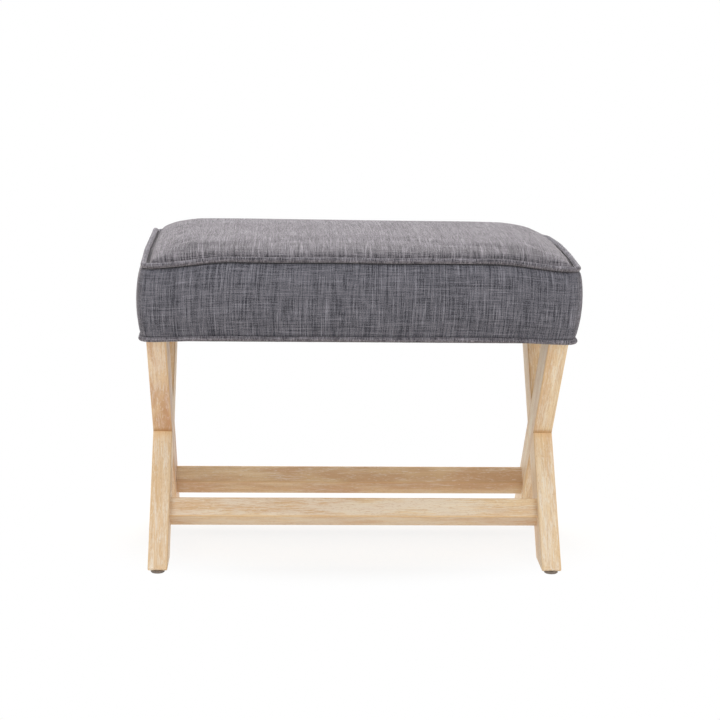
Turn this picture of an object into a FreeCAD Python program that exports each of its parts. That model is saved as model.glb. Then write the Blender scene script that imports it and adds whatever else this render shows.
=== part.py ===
import FreeCAD, Part
import math
import os
import Sketcher

# An upholstered ottoman: a boxed, piped seat on two X-shaped end frames with two stretchers.
# The frame of reference has its origin on the floor under the middle of the seat, X along the
# seat's width, Y towards the back and Z up. Sizes are in millimetres and degrees.

SIZES = [
    # The X frames and the stretchers between them
    ("frame_span", 594, "outer face to outer face of the two X frames"),
    ("leg_thick", 28, "thickness of a leg, along X"),
    ("leg_width", 54, "width of a leg across its own length"),
    ("underside_height", 341, "height of the leg tops, where the seat rests"),
    ("cross_rise", 2.5, "the half-lap's middle above half way up the legs"),
    ("heel_radius", 10, "rounding of a foot's inner end"),
    ("toe_radius", 3, "rounding of a foot's outer end"),
    ("leg_edge_radius", 1.6, "easing of a leg's long edges"),
    ("lap_clearance", 0.1, "play at each shoulder of the half-lap"),
    ("stretcher_side", 31, "side of the square stretchers"),
    ("stretcher_height", 68.3, "height of a stretcher's middle"),
    ("stretcher_edge_radius", 2, "easing of a stretcher's long edges"),
    ("cleat_height", 20, "height of the cleat between the leg tops"),
    ("glide_diameter", 20, "diameter of a floor glide"),
    ("glide_height", 4, "height of a floor glide"),
    ("glide_setback", 12.5, "from the toe to the middle of the glide"),
    # Dowels, bolts, inserts and screws
    ("dowel_diameter", 8, "diameter of every dowel"),
    ("lap_dowel_length", 20, "length of a half-lap dowel"),
    ("lap_dowel_offset", 14, "half-lap dowels above and below the crossing"),
    ("cleat_dowel_length", 36, "length of a cleat dowel"),
    ("stretcher_dowel_length", 40, "length of a stretcher dowel"),
    ("stretcher_dowel_in_leg", 14, "how deep a stretcher dowel enters the leg"),
    ("stretcher_dowel_offset", 8, "stretcher dowel above the stretcher's middle"),
    ("stretcher_bolt_offset", 6, "stretcher bolt below the stretcher's middle"),
    ("bolt_diameter", 6, "thread diameter of the frame and seat bolts"),
    ("bolt_head_diameter", 10, "head diameter of the bolts"),
    ("bolt_head_height", 6, "head height of the bolts"),
    ("bolt_socket_width", 5, "width across flats of the heads' hex sockets"),
    ("bolt_socket_depth", 3, "depth of the hex sockets"),
    ("bolt_head_recess", 1, "how far a bolt head lies below the surface"),
    ("stretcher_bolt_length", 38, "length of a stretcher bolt under its head"),
    ("insert_diameter", 9.5, "outer diameter of the threaded inserts"),
    ("insert_length", 18, "length of the threaded inserts"),
    ("bolt_clearance", 0.4, "play round a bolt, on its diameter"),
    ("fit_clearance", 0.1, "play round dowels, inserts and screws, on the diameter"),
    ("seat_bolt_inset", 36, "seat bolts from the ends of the cleat"),
    ("seat_bolt_length", 30, "length of a seat bolt under its head"),
    ("washer_diameter", 16, "diameter of the seat bolts' washers"),
    ("washer_thick", 1.5, "thickness of the washers"),
    ("nail_diameter", 2.5, "shank diameter of a glide nail"),
    ("nail_head_diameter", 7, "head diameter of a glide nail"),
    ("nail_head_thick", 1, "thickness of a glide nail's head"),
    ("nail_length", 12, "length of a glide nail"),
    ("screw_diameter", 4, "diameter of the wood screws"),
    ("screw_head_diameter", 8, "head diameter of the wood screws"),
    ("screw_tip_length", 4, "length of the screws' points"),
    ("rail_screw_length", 48, "length of a rail screw"),
    ("rail_screw_inset", 9, "rail screws from the side rail's inner face"),
    ("rail_screw_spread", 14, "rail screws above and below the rail's middle"),
    ("deck_screw_length", 28, "length of a deck screw"),
    ("deck_screw_outer_x", 225, "outer deck screws along a long rail"),
    ("deck_screw_inner_x", 80, "inner deck screws along a long rail"),
    ("deck_screw_side_y", 90, "deck screws along a side rail"),
    ("block_screw_length", 40, "length of a corner block screw"),
    ("block_screw_inset", 20, "block screws from the rail that they run beside"),
    ("block_screw_grip", 26, "wood between a block screw's head and the rail"),
    ("block_screw_spread", 9, "block screws above and below the block's middle"),
    # The seat's wooden frame and deck
    ("seat_depth", 401, "depth of the seat's wooden frame"),
    ("rail_inset", 3, "from a leg's outer face to the seat frame's outer face"),
    ("rail_height", 60, "height of the seat rails"),
    ("rail_thick", 20, "thickness of the front and rear rails"),
    ("side_rail_thick", 28, "thickness of the side rails"),
    ("frame_corner_radius", 16, "rounding of the seat frame's corners"),
    ("deck_thick", 9, "thickness of the plywood deck"),
    ("block_leg", 62, "leg of a triangular corner block"),
    ("block_tip", 8, "blunt tips of a corner block"),
    ("block_height", 38, "height of a corner block"),
    # The padding and the cover
    ("hem_stand", 4.6, "cover outside the seat frame at its lower edge"),
    ("bulge_stand", 15.2, "cover outside the seat frame where the sides are fullest"),
    ("seam_stand", 1.7, "cover outside the seat frame at the top seam"),
    ("bulge_height", 54, "height of the fullest line above the seat's underside"),
    ("seam_height", 109, "height of the top seam above the seat's underside"),
    ("crown_height", 28, "rise of the crowned top above its seam"),
    ("cover_thick", 1.2, "thickness of the cover cloth"),
    ("cover_flap", 25, "cloth turned in under the seat frame"),
    ("batting_clearance", 0.3, "space on either side of the batting"),
    ("batting_side", 3, "thickness of the batting at the top seam"),
    ("batting_top", 8, "thickness of the batting on top of the foam"),
    ("batting_lift", 5, "lower edge of the batting above the rails' underside"),
    ("welt_diameter", 7.6, "diameter of the top piping"),
    ("hem_welt_diameter", 6.8, "diameter of the bottom piping"),
    ("welt_gap", 0.2, "space between the piping and the cover"),
    ("welt_cord_diameter", 5, "diameter of the cord inside the piping"),
    ("welt_sleeve_thick", 0.7, "thickness of the piping's cloth sleeve"),
    ("dust_cover_thick", 0.8, "thickness of the dust cover"),
    ("dust_cover_margin", 8, "dust cover inside the cover's lower edge"),
    ("staple_width", 10, "width of a staple"),
    ("staple_wire", 0.9, "thickness of a staple's wire"),
    ("staple_leg", 8, "length of a staple's legs"),
    ("staple_edge", 5, "staples from the dust cover's edge"),
    ("staple_first_x", 22, "first staple from the middle"),
    ("staple_row", 225, "from the first to the last staple on each half"),
    ("staple_count", 6, "staples on each half of a long edge"),
]

# Sizes that follow from the others. A leg slopes so much that its top ends flush with the inner
# faces of the long seat rails: that is the angle between the leg's middle line and the diagonal
# from the crossing to its top's outer corner.
LEG_RISE = "(underside_height - cross_height)"
LEG_REACH = "(seat_depth / 2 - rail_thick)"
DERIVED_SIZES = [
    ("cross_height", "=(underside_height + glide_height) / 2 + cross_rise", "height of the half-lap's middle"),
    ("leg_angle",
     f"=acos(leg_width / 2 / hypot({LEG_REACH}; {LEG_RISE})) - atan2({LEG_RISE}; {LEG_REACH})",
     "slope of a leg from the vertical"),
]

doc = FreeCAD.newDocument("ottoman")
sheet = doc.addObject("Spreadsheet::Sheet", "Sizes")
for row, (alias, value, note) in enumerate(SIZES + DERIVED_SIZES, start=1):
    sheet.set(f"A{row}", note)
    sheet.set(f"B{row}", str(value))
    sheet.setAlias(f"B{row}", alias)
doc.recompute()


def size(alias):
    return float(sheet.get(alias))


# Places that several pieces share, as expressions on the sheet
LEG_X = "(Sizes.frame_span / 2 - Sizes.leg_thick / 2)"
OUTER_X = "(Sizes.frame_span / 2)"
INNER_X = "(Sizes.frame_span / 2 - Sizes.leg_thick)"
HALF_LEG = "(Sizes.leg_width / 2 / cos(Sizes.leg_angle))"
FOOT_Z = "Sizes.glide_height"
TOP_Z = "Sizes.underside_height"
RAIL_Z = "(Sizes.underside_height + Sizes.dust_cover_thick + Sizes.cover_thick)"
DECK_Z = f"({RAIL_Z} + Sizes.rail_height)"
RAIL_X = "(Sizes.frame_span / 2 - Sizes.rail_inset)"
RAIL_Y = "(Sizes.seat_depth / 2)"
SIDE_RAIL_INNER_X = f"({RAIL_X} - Sizes.side_rail_thick)"
RAIL_INNER_Y = f"({RAIL_Y} - Sizes.rail_thick)"
CLEAT_Z = f"({TOP_Z} - Sizes.cleat_height)"


def slope_y(height):
    """How far a leg that leans to the back has moved back at a height, from the crossing."""
    return f"(({height}) - Sizes.cross_height) * tan(Sizes.leg_angle)"


# Helpers for sketches and bodies

def origin_plane(body, role):
    return next(feature for feature in body.Origin.OriginFeatures if feature.Role == role)


def new_sketch(body, role, offset):
    sketch = body.newObject("Sketcher::SketchObject", "Outline")
    sketch.AttachmentSupport = (origin_plane(body, role), "")
    sketch.MapMode = "FlatFace"
    for axis, expression in zip("xyz", offset):
        sketch.setExpression(f"AttachmentOffset.Base.{axis}", expression)
    return sketch


def draw_outline(sketch, corners):
    """A closed outline of straight lines, each corner bound to two expressions."""
    count = len(corners)
    first = len(sketch.Geometry)
    turn = 2 * math.pi / count
    places = [FreeCAD.Vector(50 * math.cos(i * turn), 50 * math.sin(i * turn), 0) for i in range(count)]
    for i in range(count):
        sketch.addGeometry(Part.LineSegment(places[i], places[(i + 1) % count]), False)
    for i in range(count):
        sketch.addConstraint(Sketcher.Constraint("Coincident", first + i, 2, first + (i + 1) % count, 1))
    for i, (across, along) in enumerate(corners):
        for kind, value, expression in (("DistanceX", places[i].x, across), ("DistanceY", places[i].y, along)):
            index = sketch.addConstraint(Sketcher.Constraint(kind, -1, 1, first + i, 1, value))
            sketch.setExpression(f"Constraints[{index}]", expression)


def pad(body, role, offset, corners, length, both_ways=False):
    sketch = new_sketch(body, role, offset)
    draw_outline(sketch, corners)
    feature = body.newObject("PartDesign::Pad", "Pad")
    feature.Profile = sketch
    feature.SideType = "Symmetric" if both_ways else "One side"
    feature.setExpression("Length", length)
    return feature


def pocket(body, role, offset, corners, depth):
    """A pocket that reaches the depth on both sides of its sketch, which lies on a surface."""
    sketch = new_sketch(body, role, offset)
    draw_outline(sketch, corners)
    before = body.Shape.Volume
    feature = body.newObject("PartDesign::Pocket", "Pocket")
    feature.Profile = sketch
    feature.SideType = "Symmetric"
    feature.setExpression("Length", f"2 * ({depth})")
    doc.recompute()
    if body.Shape.Volume >= before:
        raise RuntimeError(f"a pocket in {body.Label} cuts nothing")
    return feature


def rectangle(half_across, half_along):
    return [
        (f"-({half_across})", f"-({half_along})"),
        (half_across, f"-({half_along})"),
        (half_across, half_along),
        (f"-({half_across})", half_along),
    ]


def round_edges(body, radius, chosen):
    doc.recompute()
    base = body.Tip
    names = [f"Edge{i}" for i, edge in enumerate(base.Shape.Edges, start=1) if chosen(edge)]
    feature = body.newObject("PartDesign::Fillet", "Rounding")
    feature.Base = (base, names)
    feature.setExpression("Radius", radius)
    doc.recompute()
    return feature


def runs_along(edge, axis):
    """True for a straight edge along one of the axes, given as 0, 1 or 2."""
    if edge.Curve.TypeId != "Part::GeomLine":
        return False
    return abs(edge.Curve.Direction[axis]) > 0.999


def turned(body, axis, spot, profile):
    """One turned shape: its profile is a list of (place along the axis, radius)."""
    across, back, up = spot
    if axis == "Z":
        sketch = new_sketch(body, "XZ_Plane", (across, up, f"-({back})"))
        draw_outline(sketch, [(radius, along) for along, radius in profile])
    elif axis == "X":
        sketch = new_sketch(body, "XZ_Plane", (across, up, f"-({back})"))
        draw_outline(sketch, profile)
    else:
        sketch = new_sketch(body, "YZ_Plane", (back, up, across))
        draw_outline(sketch, profile)
    feature = body.newObject("PartDesign::Revolution", "Turning")
    feature.Profile = sketch
    feature.ReferenceAxis = (sketch, ["V_Axis" if axis == "Z" else "H_Axis"])
    feature.Angle = 360
    return feature


def mirrored(body, originals, roles):
    """Repeat features across the body's own middle planes."""
    doc.recompute()
    pattern = body.newObject("PartDesign::MultiTransform", "Repeats")
    steps = []
    for role in roles:
        step = doc.addObject("PartDesign::Mirrored", "Mirror")
        body.addObject(step)
        step.MirrorPlane = (origin_plane(body, role), [""])
        steps.append(step)
    pattern.Originals = originals
    pattern.Transformations = steps
    body.Tip = pattern
    doc.recompute()
    return pattern


LEFT_RIGHT = ("YZ_Plane",)
ALL_ROUND = ("YZ_Plane", "XZ_Plane")


def group(name, spots, roles=ALL_ROUND):
    """Alike turned pieces in one body: each spot is (axis, place, profile)."""
    body = doc.addObject("PartDesign::Body", name)
    shapes = [turned(body, axis, place, profile) for axis, place, profile in spots]
    mirrored(body, shapes, roles)
    return body


def bored(piece, *tools):
    """Take fasteners' holes out of a piece, one kind after another."""
    for tool in tools:
        cut = doc.addObject("Part::Cut", "Bored")
        cut.Base = piece
        cut.Tool = tool
        piece = cut
    return piece


NODES = {}


def keep(name, piece):
    piece.Label = name
    NODES[name] = piece
    return piece


# Dowels: each is a plain rod, and its hole is the same rod with the fit's clearance

def rod(start, end, diameter):
    radius = f"({diameter}) / 2"
    return [(start, "0"), (start, radius), (end, radius), (end, "0")]


def ring(start, end, diameter, bore):
    return [(start, f"({bore}) / 2"), (start, f"({diameter}) / 2"), (end, f"({diameter}) / 2"), (end, f"({bore}) / 2")]


def dowel_diameter(play):
    return f"Sizes.dowel_diameter + {play}"


FIT = "Sizes.fit_clearance"


def lap_dowel_spots(play):
    reach = f"(Sizes.lap_dowel_length / 2 + {play})"
    profile = rod(f"-{reach}", reach, dowel_diameter(play))
    return [
        ("X", (LEG_X, "0", f"Sizes.cross_height + {way} * Sizes.lap_dowel_offset"), profile)
        for way in (-1, 1)
    ]


def cleat_dowel_spots(play):
    reach = f"(Sizes.cleat_dowel_length / 2 + {play})"
    middle = f"({TOP_Z} - Sizes.cleat_height / 2)"
    joint_y = f"({slope_y(middle)} - {HALF_LEG})"
    return [("Y", (LEG_X, joint_y, middle), rod(f"-{reach}", reach, dowel_diameter(play)))]


# A place on the leg's middle line, measured along the leg from the stretcher's middle
def beside_stretcher(offset):
    drop = f"(Sizes.stretcher_height + ({offset}) * cos(Sizes.leg_angle))"
    return f"({slope_y(drop)})", drop


def stretcher_dowel_spots(play):
    back, up = beside_stretcher("Sizes.stretcher_dowel_offset")
    outward = f"(Sizes.stretcher_dowel_in_leg + {play})"
    inward = f"-(Sizes.stretcher_dowel_length - Sizes.stretcher_dowel_in_leg + {play})"
    return [("X", (INNER_X, back, up), rod(inward, outward, dowel_diameter(play)))]


lap_dowels = keep("lap_dowels", group("LapDowels", lap_dowel_spots("0"), LEFT_RIGHT))
cleat_dowels = keep("cleat_dowels", group("CleatDowels", cleat_dowel_spots("0")))
stretcher_dowels = keep("stretcher_dowels", group("StretcherDowels", stretcher_dowel_spots("0")))
lap_dowel_holes = group("LapDowelHoles", lap_dowel_spots(FIT), LEFT_RIGHT)
cleat_dowel_holes = group("CleatDowelHoles", cleat_dowel_spots(FIT))
stretcher_dowel_holes = group("StretcherDowelHoles", stretcher_dowel_spots(FIT))


# Bolts: a socket head and a shank. Lengths run from the seat of the head, away from the head.

def bolt_profile(way, length):
    head = "Sizes.bolt_head_diameter / 2"
    shank = "Sizes.bolt_diameter / 2"
    head_end = f"-({way}) * Sizes.bolt_head_height"
    return [(head_end, "0"), (head_end, head), ("0", head), ("0", shank),
            (f"({way}) * {length}", shank), (f"({way}) * {length}", "0")]


def hex_socket(body, role, offset):
    """A six-sided socket, sunk from the head's outer face."""
    corner = "Sizes.bolt_socket_width / sqrt(3)"
    flat = "Sizes.bolt_socket_width / 2"
    outline = [(corner, "0"), (f"{corner} / 2", flat), (f"-{corner} / 2", flat),
               (f"-{corner}", "0"), (f"-{corner} / 2", f"-{flat}"), (f"{corner} / 2", f"-{flat}")]
    return pocket(body, role, offset, outline, "Sizes.bolt_socket_depth")


bolt_back, bolt_up = beside_stretcher("-Sizes.stretcher_bolt_offset")
STRETCHER_BOLT_SEAT_X = f"({OUTER_X} - Sizes.bolt_head_recess - Sizes.bolt_head_height)"
stretcher_bolts = doc.addObject("PartDesign::Body", "StretcherBolts")
stretcher_bolt = turned(
    stretcher_bolts, "X", (STRETCHER_BOLT_SEAT_X, bolt_back, bolt_up),
    bolt_profile(-1, "Sizes.stretcher_bolt_length"),
)
doc.recompute()
stretcher_socket = hex_socket(
    stretcher_bolts, "YZ_Plane", (bolt_back, bolt_up, f"{OUTER_X} - Sizes.bolt_head_recess")
)
mirrored(stretcher_bolts, [stretcher_bolt, stretcher_socket], ALL_ROUND)
keep("stretcher_bolts", stretcher_bolts)
stretcher_bolt_holes = group("StretcherBoltHoles", [
    ("X", (STRETCHER_BOLT_SEAT_X, bolt_back, bolt_up), [
        ("Sizes.leg_thick", "0"),
        ("Sizes.leg_thick", "(Sizes.bolt_head_diameter + 1) / 2"),
        ("0", "(Sizes.bolt_head_diameter + 1) / 2"),
        ("0", "(Sizes.bolt_diameter + Sizes.bolt_clearance) / 2"),
        ("-Sizes.stretcher_bolt_length - 2", "(Sizes.bolt_diameter + Sizes.bolt_clearance) / 2"),
        ("-Sizes.stretcher_bolt_length - 2", "0"),
    ]),
])
stretcher_inserts = keep("stretcher_inserts", group("StretcherInserts", [
    ("X", (INNER_X, bolt_back, bolt_up), ring(
        "-Sizes.insert_length", "0", "Sizes.insert_diameter", "Sizes.bolt_diameter + Sizes.fit_clearance")),
]))
stretcher_insert_holes = group("StretcherInsertHoles", [
    ("X", (INNER_X, bolt_back, bolt_up), rod(
        "-Sizes.insert_length - Sizes.fit_clearance", "0", "Sizes.insert_diameter + Sizes.fit_clearance")),
])

SEAT_BOLT_Y = f"({slope_y(CLEAT_Z)} - {HALF_LEG} - Sizes.seat_bolt_inset)"
SEAT_BOLT_SEAT_Z = f"({CLEAT_Z} + Sizes.bolt_head_recess + Sizes.bolt_head_height + Sizes.washer_thick)"
WASHER_Z = f"({SEAT_BOLT_SEAT_Z} - Sizes.washer_thick)"
seat_bolts = doc.addObject("PartDesign::Body", "SeatBolts")
seat_bolt = turned(
    seat_bolts, "Z", (LEG_X, SEAT_BOLT_Y, WASHER_Z),
    bolt_profile(1, "Sizes.seat_bolt_length"),
)
doc.recompute()
seat_socket = hex_socket(
    seat_bolts, "XY_Plane", (LEG_X, SEAT_BOLT_Y, f"{WASHER_Z} - Sizes.bolt_head_height")
)
mirrored(seat_bolts, [seat_bolt, seat_socket], ALL_ROUND)
keep("seat_bolts", seat_bolts)
seat_bolt_washers = keep("seat_bolt_washers", group("SeatBoltWashers", [
    ("Z", (LEG_X, SEAT_BOLT_Y, WASHER_Z), ring(
        "0", "Sizes.washer_thick", "Sizes.washer_diameter", "Sizes.bolt_diameter + Sizes.bolt_clearance")),
]))
seat_bolt_holes = group("SeatBoltHoles", [
    ("Z", (LEG_X, SEAT_BOLT_Y, SEAT_BOLT_SEAT_Z), [
        ("-Sizes.cleat_height", "0"),
        ("-Sizes.cleat_height", "(Sizes.washer_diameter + 1) / 2"),
        ("0", "(Sizes.washer_diameter + 1) / 2"),
        ("0", "(Sizes.bolt_diameter + Sizes.bolt_clearance) / 2"),
        ("Sizes.seat_bolt_length", "(Sizes.bolt_diameter + Sizes.bolt_clearance) / 2"),
        ("Sizes.seat_bolt_length", "0"),
    ]),
])
threaded_inserts = keep("threaded_inserts", group("ThreadedInserts", [
    ("Z", (LEG_X, SEAT_BOLT_Y, RAIL_Z), ring(
        "0", "Sizes.insert_length", "Sizes.insert_diameter", "Sizes.bolt_diameter + Sizes.fit_clearance")),
]))
threaded_insert_holes = group("ThreadedInsertHoles", [
    ("Z", (LEG_X, SEAT_BOLT_Y, RAIL_Z), rod(
        "0", "Sizes.insert_length + Sizes.fit_clearance", "Sizes.insert_diameter + Sizes.fit_clearance")),
])


# Countersunk wood screws: lengths run from the head's face, along the way that the screw goes in.

def screw_profile(way, length, play="0"):
    head = f"(Sizes.screw_head_diameter + {play}) / 2"
    shank = f"(Sizes.screw_diameter + {play}) / 2"
    neck = "(Sizes.screw_head_diameter - Sizes.screw_diameter) / 2"
    return [("0", "0"), ("0", head), (f"({way}) * {neck}", shank),
            (f"({way}) * ({length} - Sizes.screw_tip_length)", shank), (f"({way}) * {length}", "0")]


def rail_screw_spots(play="0"):
    across = f"({SIDE_RAIL_INNER_X} + Sizes.rail_screw_inset)"
    middle = f"({RAIL_Z} + Sizes.rail_height / 2)"
    return [
        ("Y", (across, RAIL_Y, f"{middle} + {way} * Sizes.rail_screw_spread"),
         screw_profile(-1, "Sizes.rail_screw_length", play))
        for way in (-1, 1)
    ]


def deck_screw_spots(play="0"):
    long_rail_y = f"({RAIL_Y} - Sizes.rail_thick / 2)"
    side_rail_x = f"({RAIL_X} - Sizes.side_rail_thick / 2)"
    top = f"({DECK_Z} + Sizes.deck_thick)"
    places = [("Sizes.deck_screw_outer_x", long_rail_y), ("Sizes.deck_screw_inner_x", long_rail_y),
              (side_rail_x, "Sizes.deck_screw_side_y")]
    return [("Z", (across, back, top), screw_profile(-1, "Sizes.deck_screw_length", play))
            for across, back in places]


BLOCK_MIDDLE_Z = f"({DECK_Z} - Sizes.block_height / 2)"


def block_screw_spots(play="0", mouth="0"):
    """Two screws in each block, one into each rail, their heads sunk below the slanted face."""
    profile = screw_profile(1, "Sizes.block_screw_length", play)
    if mouth != "0":
        profile = [(f"-{mouth}", "0"), (f"-{mouth}", profile[1][1])] + profile[1:]
    into_side = (f"({SIDE_RAIL_INNER_X} - Sizes.block_screw_grip)", f"({RAIL_INNER_Y} - Sizes.block_screw_inset)",
                 f"{BLOCK_MIDDLE_Z} + Sizes.block_screw_spread")
    into_long = (f"({SIDE_RAIL_INNER_X} - Sizes.block_screw_inset)", f"({RAIL_INNER_Y} - Sizes.block_screw_grip)",
                 f"{BLOCK_MIDDLE_Z} - Sizes.block_screw_spread")
    return [("X", into_side, profile), ("Y", into_long, profile)]


rail_screws = keep("rail_screws", group("RailScrews", rail_screw_spots()))
deck_screws = keep("deck_screws", group("DeckScrews", deck_screw_spots()))
corner_block_screws = keep("corner_block_screws", group("BlockScrews", block_screw_spots()))
rail_screw_holes = group("RailScrewHoles", rail_screw_spots(FIT))
deck_screw_holes = group("DeckScrewHoles", deck_screw_spots(FIT))
block_screw_holes = group("BlockScrewHoles", block_screw_spots(FIT, "Sizes.block_leg"))


# Floor glides: a plastic disc under each foot, its nail sunk in the middle

GLIDE_Y = f"({slope_y(FOOT_Z)} - {HALF_LEG} + Sizes.glide_setback)"
NAIL_Z = "(Sizes.glide_height / 2)"
nail_bore = "(Sizes.nail_diameter + Sizes.fit_clearance) / 2"
for side, side_way in (("left", -1), ("right", 1)):
    for end, end_way in (("front", 1), ("rear", -1)):
        glide = doc.addObject("PartDesign::Body", "Glide")
        turned(glide, "Z", (f"{side_way} * {LEG_X}", f"{end_way} * {GLIDE_Y}", "0"), [
            ("0", "(Sizes.nail_head_diameter + 1) / 2"),
            ("0", "Sizes.glide_diameter / 2 - 1"),
            ("1", "Sizes.glide_diameter / 2"),
            (FOOT_Z, "Sizes.glide_diameter / 2"),
            (FOOT_Z, nail_bore),
            (NAIL_Z, nail_bore),
            (NAIL_Z, "(Sizes.nail_head_diameter + 1) / 2"),
        ])
        keep(f"glide_{end}_{side}", glide)
glide_nails = keep("glide_nails", group("GlideNails", [
    ("Z", (LEG_X, GLIDE_Y, NAIL_Z), [
        ("-Sizes.nail_head_thick", "0"),
        ("-Sizes.nail_head_thick", "Sizes.nail_head_diameter / 2"),
        ("0", "Sizes.nail_head_diameter / 2"),
        ("0", "Sizes.nail_diameter / 2"),
        ("Sizes.nail_length - 2", "Sizes.nail_diameter / 2"),
        ("Sizes.nail_length", "0"),
    ]),
]))
glide_nail_holes = group("GlideNailHoles", [
    ("Z", (LEG_X, GLIDE_Y, NAIL_Z), rod("0", "Sizes.nail_length", "Sizes.nail_diameter + Sizes.fit_clearance")),
])


# Legs: sloping bars, cut level at the floor and under the seat. The two legs of a frame are halved
# into each other, so both lie in one plane.

def leg_outline(lean, half):
    """The corners of a leg seen from the side; lean is 1 for a leg whose foot is at the front."""
    return [
        (f"{lean} * ({slope_y(FOOT_Z)}) - {half}", FOOT_Z),
        (f"{lean} * ({slope_y(FOOT_Z)}) + {half}", FOOT_Z),
        (f"{lean} * ({slope_y(TOP_Z)}) + {half}", TOP_Z),
        (f"{lean} * ({slope_y(TOP_Z)}) - {half}", TOP_Z),
    ]


def make_leg(side_way, lean):
    middle_x = f"{side_way} * {LEG_X}"
    body = doc.addObject("PartDesign::Body", "Leg")
    pad(body, "YZ_Plane", ("0", "0", middle_x), leg_outline(lean, HALF_LEG), "Sizes.leg_thick", both_ways=True)
    foot_z = size("glide_height")
    top_z = size("underside_height")
    foot_y = lean * (foot_z - size("cross_height")) * math.tan(math.radians(size("leg_angle")))

    def at_foot(edge, way):
        middle = edge.CenterOfMass
        return runs_along(edge, 0) and abs(middle.z - foot_z) < 0.01 and (middle.y - foot_y) * way * lean > 0

    round_edges(body, "Sizes.heel_radius", lambda edge: at_foot(edge, 1))
    round_edges(body, "Sizes.toe_radius", lambda edge: at_foot(edge, -1))
    centre_x = side_way * (size("frame_span") - size("leg_thick")) / 2
    round_edges(
        body, "Sizes.leg_edge_radius",
        lambda edge: not runs_along(edge, 0)
        and abs(abs(edge.CenterOfMass.x - centre_x) - size("leg_thick") / 2) < 0.01
        and edge.CenterOfMass.z < top_z - 0.01,
    )
    # A front-footed leg loses its inner half at the crossing, its partner the outer half
    halved_face = f"{side_way} * {INNER_X if lean == 1 else OUTER_X}"
    shoulder = f"({HALF_LEG} + Sizes.lap_clearance / cos(Sizes.leg_angle))"
    pocket(body, "YZ_Plane", ("0", "0", halved_face), leg_outline(-lean, shoulder), "Sizes.leg_thick / 2")
    return bored(body, lap_dowel_holes, cleat_dowel_holes, stretcher_dowel_holes,
                 stretcher_bolt_holes, glide_nail_holes)


for side, side_way in (("left", -1), ("right", 1)):
    keep(f"{side}_leg_front_foot", make_leg(side_way, 1))
    keep(f"{side}_leg_rear_foot", make_leg(side_way, -1))


# Cleats: a bar between the leg tops of each frame, its ends cut to the legs' slope

for side, side_way in (("left", -1), ("right", 1)):
    upper_y = f"({slope_y(TOP_Z)} - {HALF_LEG})"
    lower_y = f"({slope_y(CLEAT_Z)} - {HALF_LEG})"
    cleat = doc.addObject("PartDesign::Body", "Cleat")
    pad(cleat, "YZ_Plane", ("0", "0", f"{side_way} * {LEG_X}"), [
        (f"-{lower_y}", CLEAT_Z), (lower_y, CLEAT_Z), (upper_y, TOP_Z), (f"-{upper_y}", TOP_Z),
    ], "Sizes.leg_thick", both_ways=True)
    keep(f"{side}_top_cleat", bored(cleat, cleat_dowel_holes, seat_bolt_holes))


# Stretchers: square bars between the frames, turned until their faces follow the legs' slope

for end, end_way in (("front", -1), ("rear", 1)):
    stretcher = doc.addObject("PartDesign::Body", "Stretcher")
    half_side = "Sizes.stretcher_side / 2"
    pad(stretcher, "YZ_Plane", ("0", "0", "0"), rectangle(half_side, half_side), f"2 * {INNER_X}", both_ways=True)
    round_edges(stretcher, "Sizes.stretcher_edge_radius", lambda edge: runs_along(edge, 0))
    stretcher.Placement = FreeCAD.Placement(
        FreeCAD.Vector(0, 0, 0), FreeCAD.Rotation(FreeCAD.Vector(end_way, 0, 0), size("leg_angle")))
    stretcher.setExpression("Placement.Rotation.Angle", "Sizes.leg_angle")
    stretcher.setExpression("Placement.Base.y", f"-({end_way}) * ({slope_y('Sizes.stretcher_height')})")
    stretcher.setExpression("Placement.Base.z", "Sizes.stretcher_height")
    keep(f"{end}_stretcher", bored(stretcher, stretcher_dowel_holes, stretcher_bolt_holes, stretcher_insert_holes))


# Dust cover: black cambric over the seat frame's underside, stapled to the long rails and held at
# the sides by the X frames

HEM_X = f"({RAIL_X} + Sizes.hem_stand)"
HEM_Y = f"({RAIL_Y} + Sizes.hem_stand)"
DUST_X = f"({HEM_X} - Sizes.dust_cover_margin)"
DUST_Y = f"({HEM_Y} - Sizes.dust_cover_margin)"
staples = doc.addObject("PartDesign::Body", "Staples")
staple_half = "Sizes.staple_width / 2"
wire = "Sizes.staple_wire"
staple = pad(staples, "XZ_Plane", ("Sizes.staple_first_x", TOP_Z, f"{DUST_Y} - Sizes.staple_edge"), [
    (f"-({staple_half})", f"-({wire})"),
    (staple_half, f"-({wire})"),
    (staple_half, "Sizes.staple_leg"),
    (f"{staple_half} - {wire}", "Sizes.staple_leg"),
    (f"{staple_half} - {wire}", "0"),
    (f"-({staple_half} - {wire})", "0"),
    (f"-({staple_half} - {wire})", "Sizes.staple_leg"),
    (f"-({staple_half})", "Sizes.staple_leg"),
], wire, both_ways=True)
doc.recompute()
staple_pattern = mirrored(staples, [staple], ALL_ROUND)
row_step = doc.addObject("PartDesign::LinearPattern", "Row")
staples.addObject(row_step)
row_step.Direction = (next(f for f in staples.Origin.OriginFeatures if f.Role == "X_Axis"), [""])
row_step.setExpression("Length", "Sizes.staple_row")
row_step.setExpression("Occurrences", "Sizes.staple_count")
staple_pattern.Transformations = [row_step] + list(staple_pattern.Transformations)
staples.Tip = staple_pattern
doc.recompute()
keep("dust_cover_staples", staples)

dust_cover = doc.addObject("PartDesign::Body", "DustCover")
pad(dust_cover, "XY_Plane", ("0", "0", TOP_Z), rectangle(DUST_X, DUST_Y), "Sizes.dust_cover_thick")
round_edges(dust_cover, "Sizes.frame_corner_radius / 2", lambda edge: runs_along(edge, 2))
keep("dust_cover", bored(dust_cover, seat_bolt_holes, staples))


# Seat frame: two long rails over the side rails' ends, blocks in the corners, plywood on top

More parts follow.
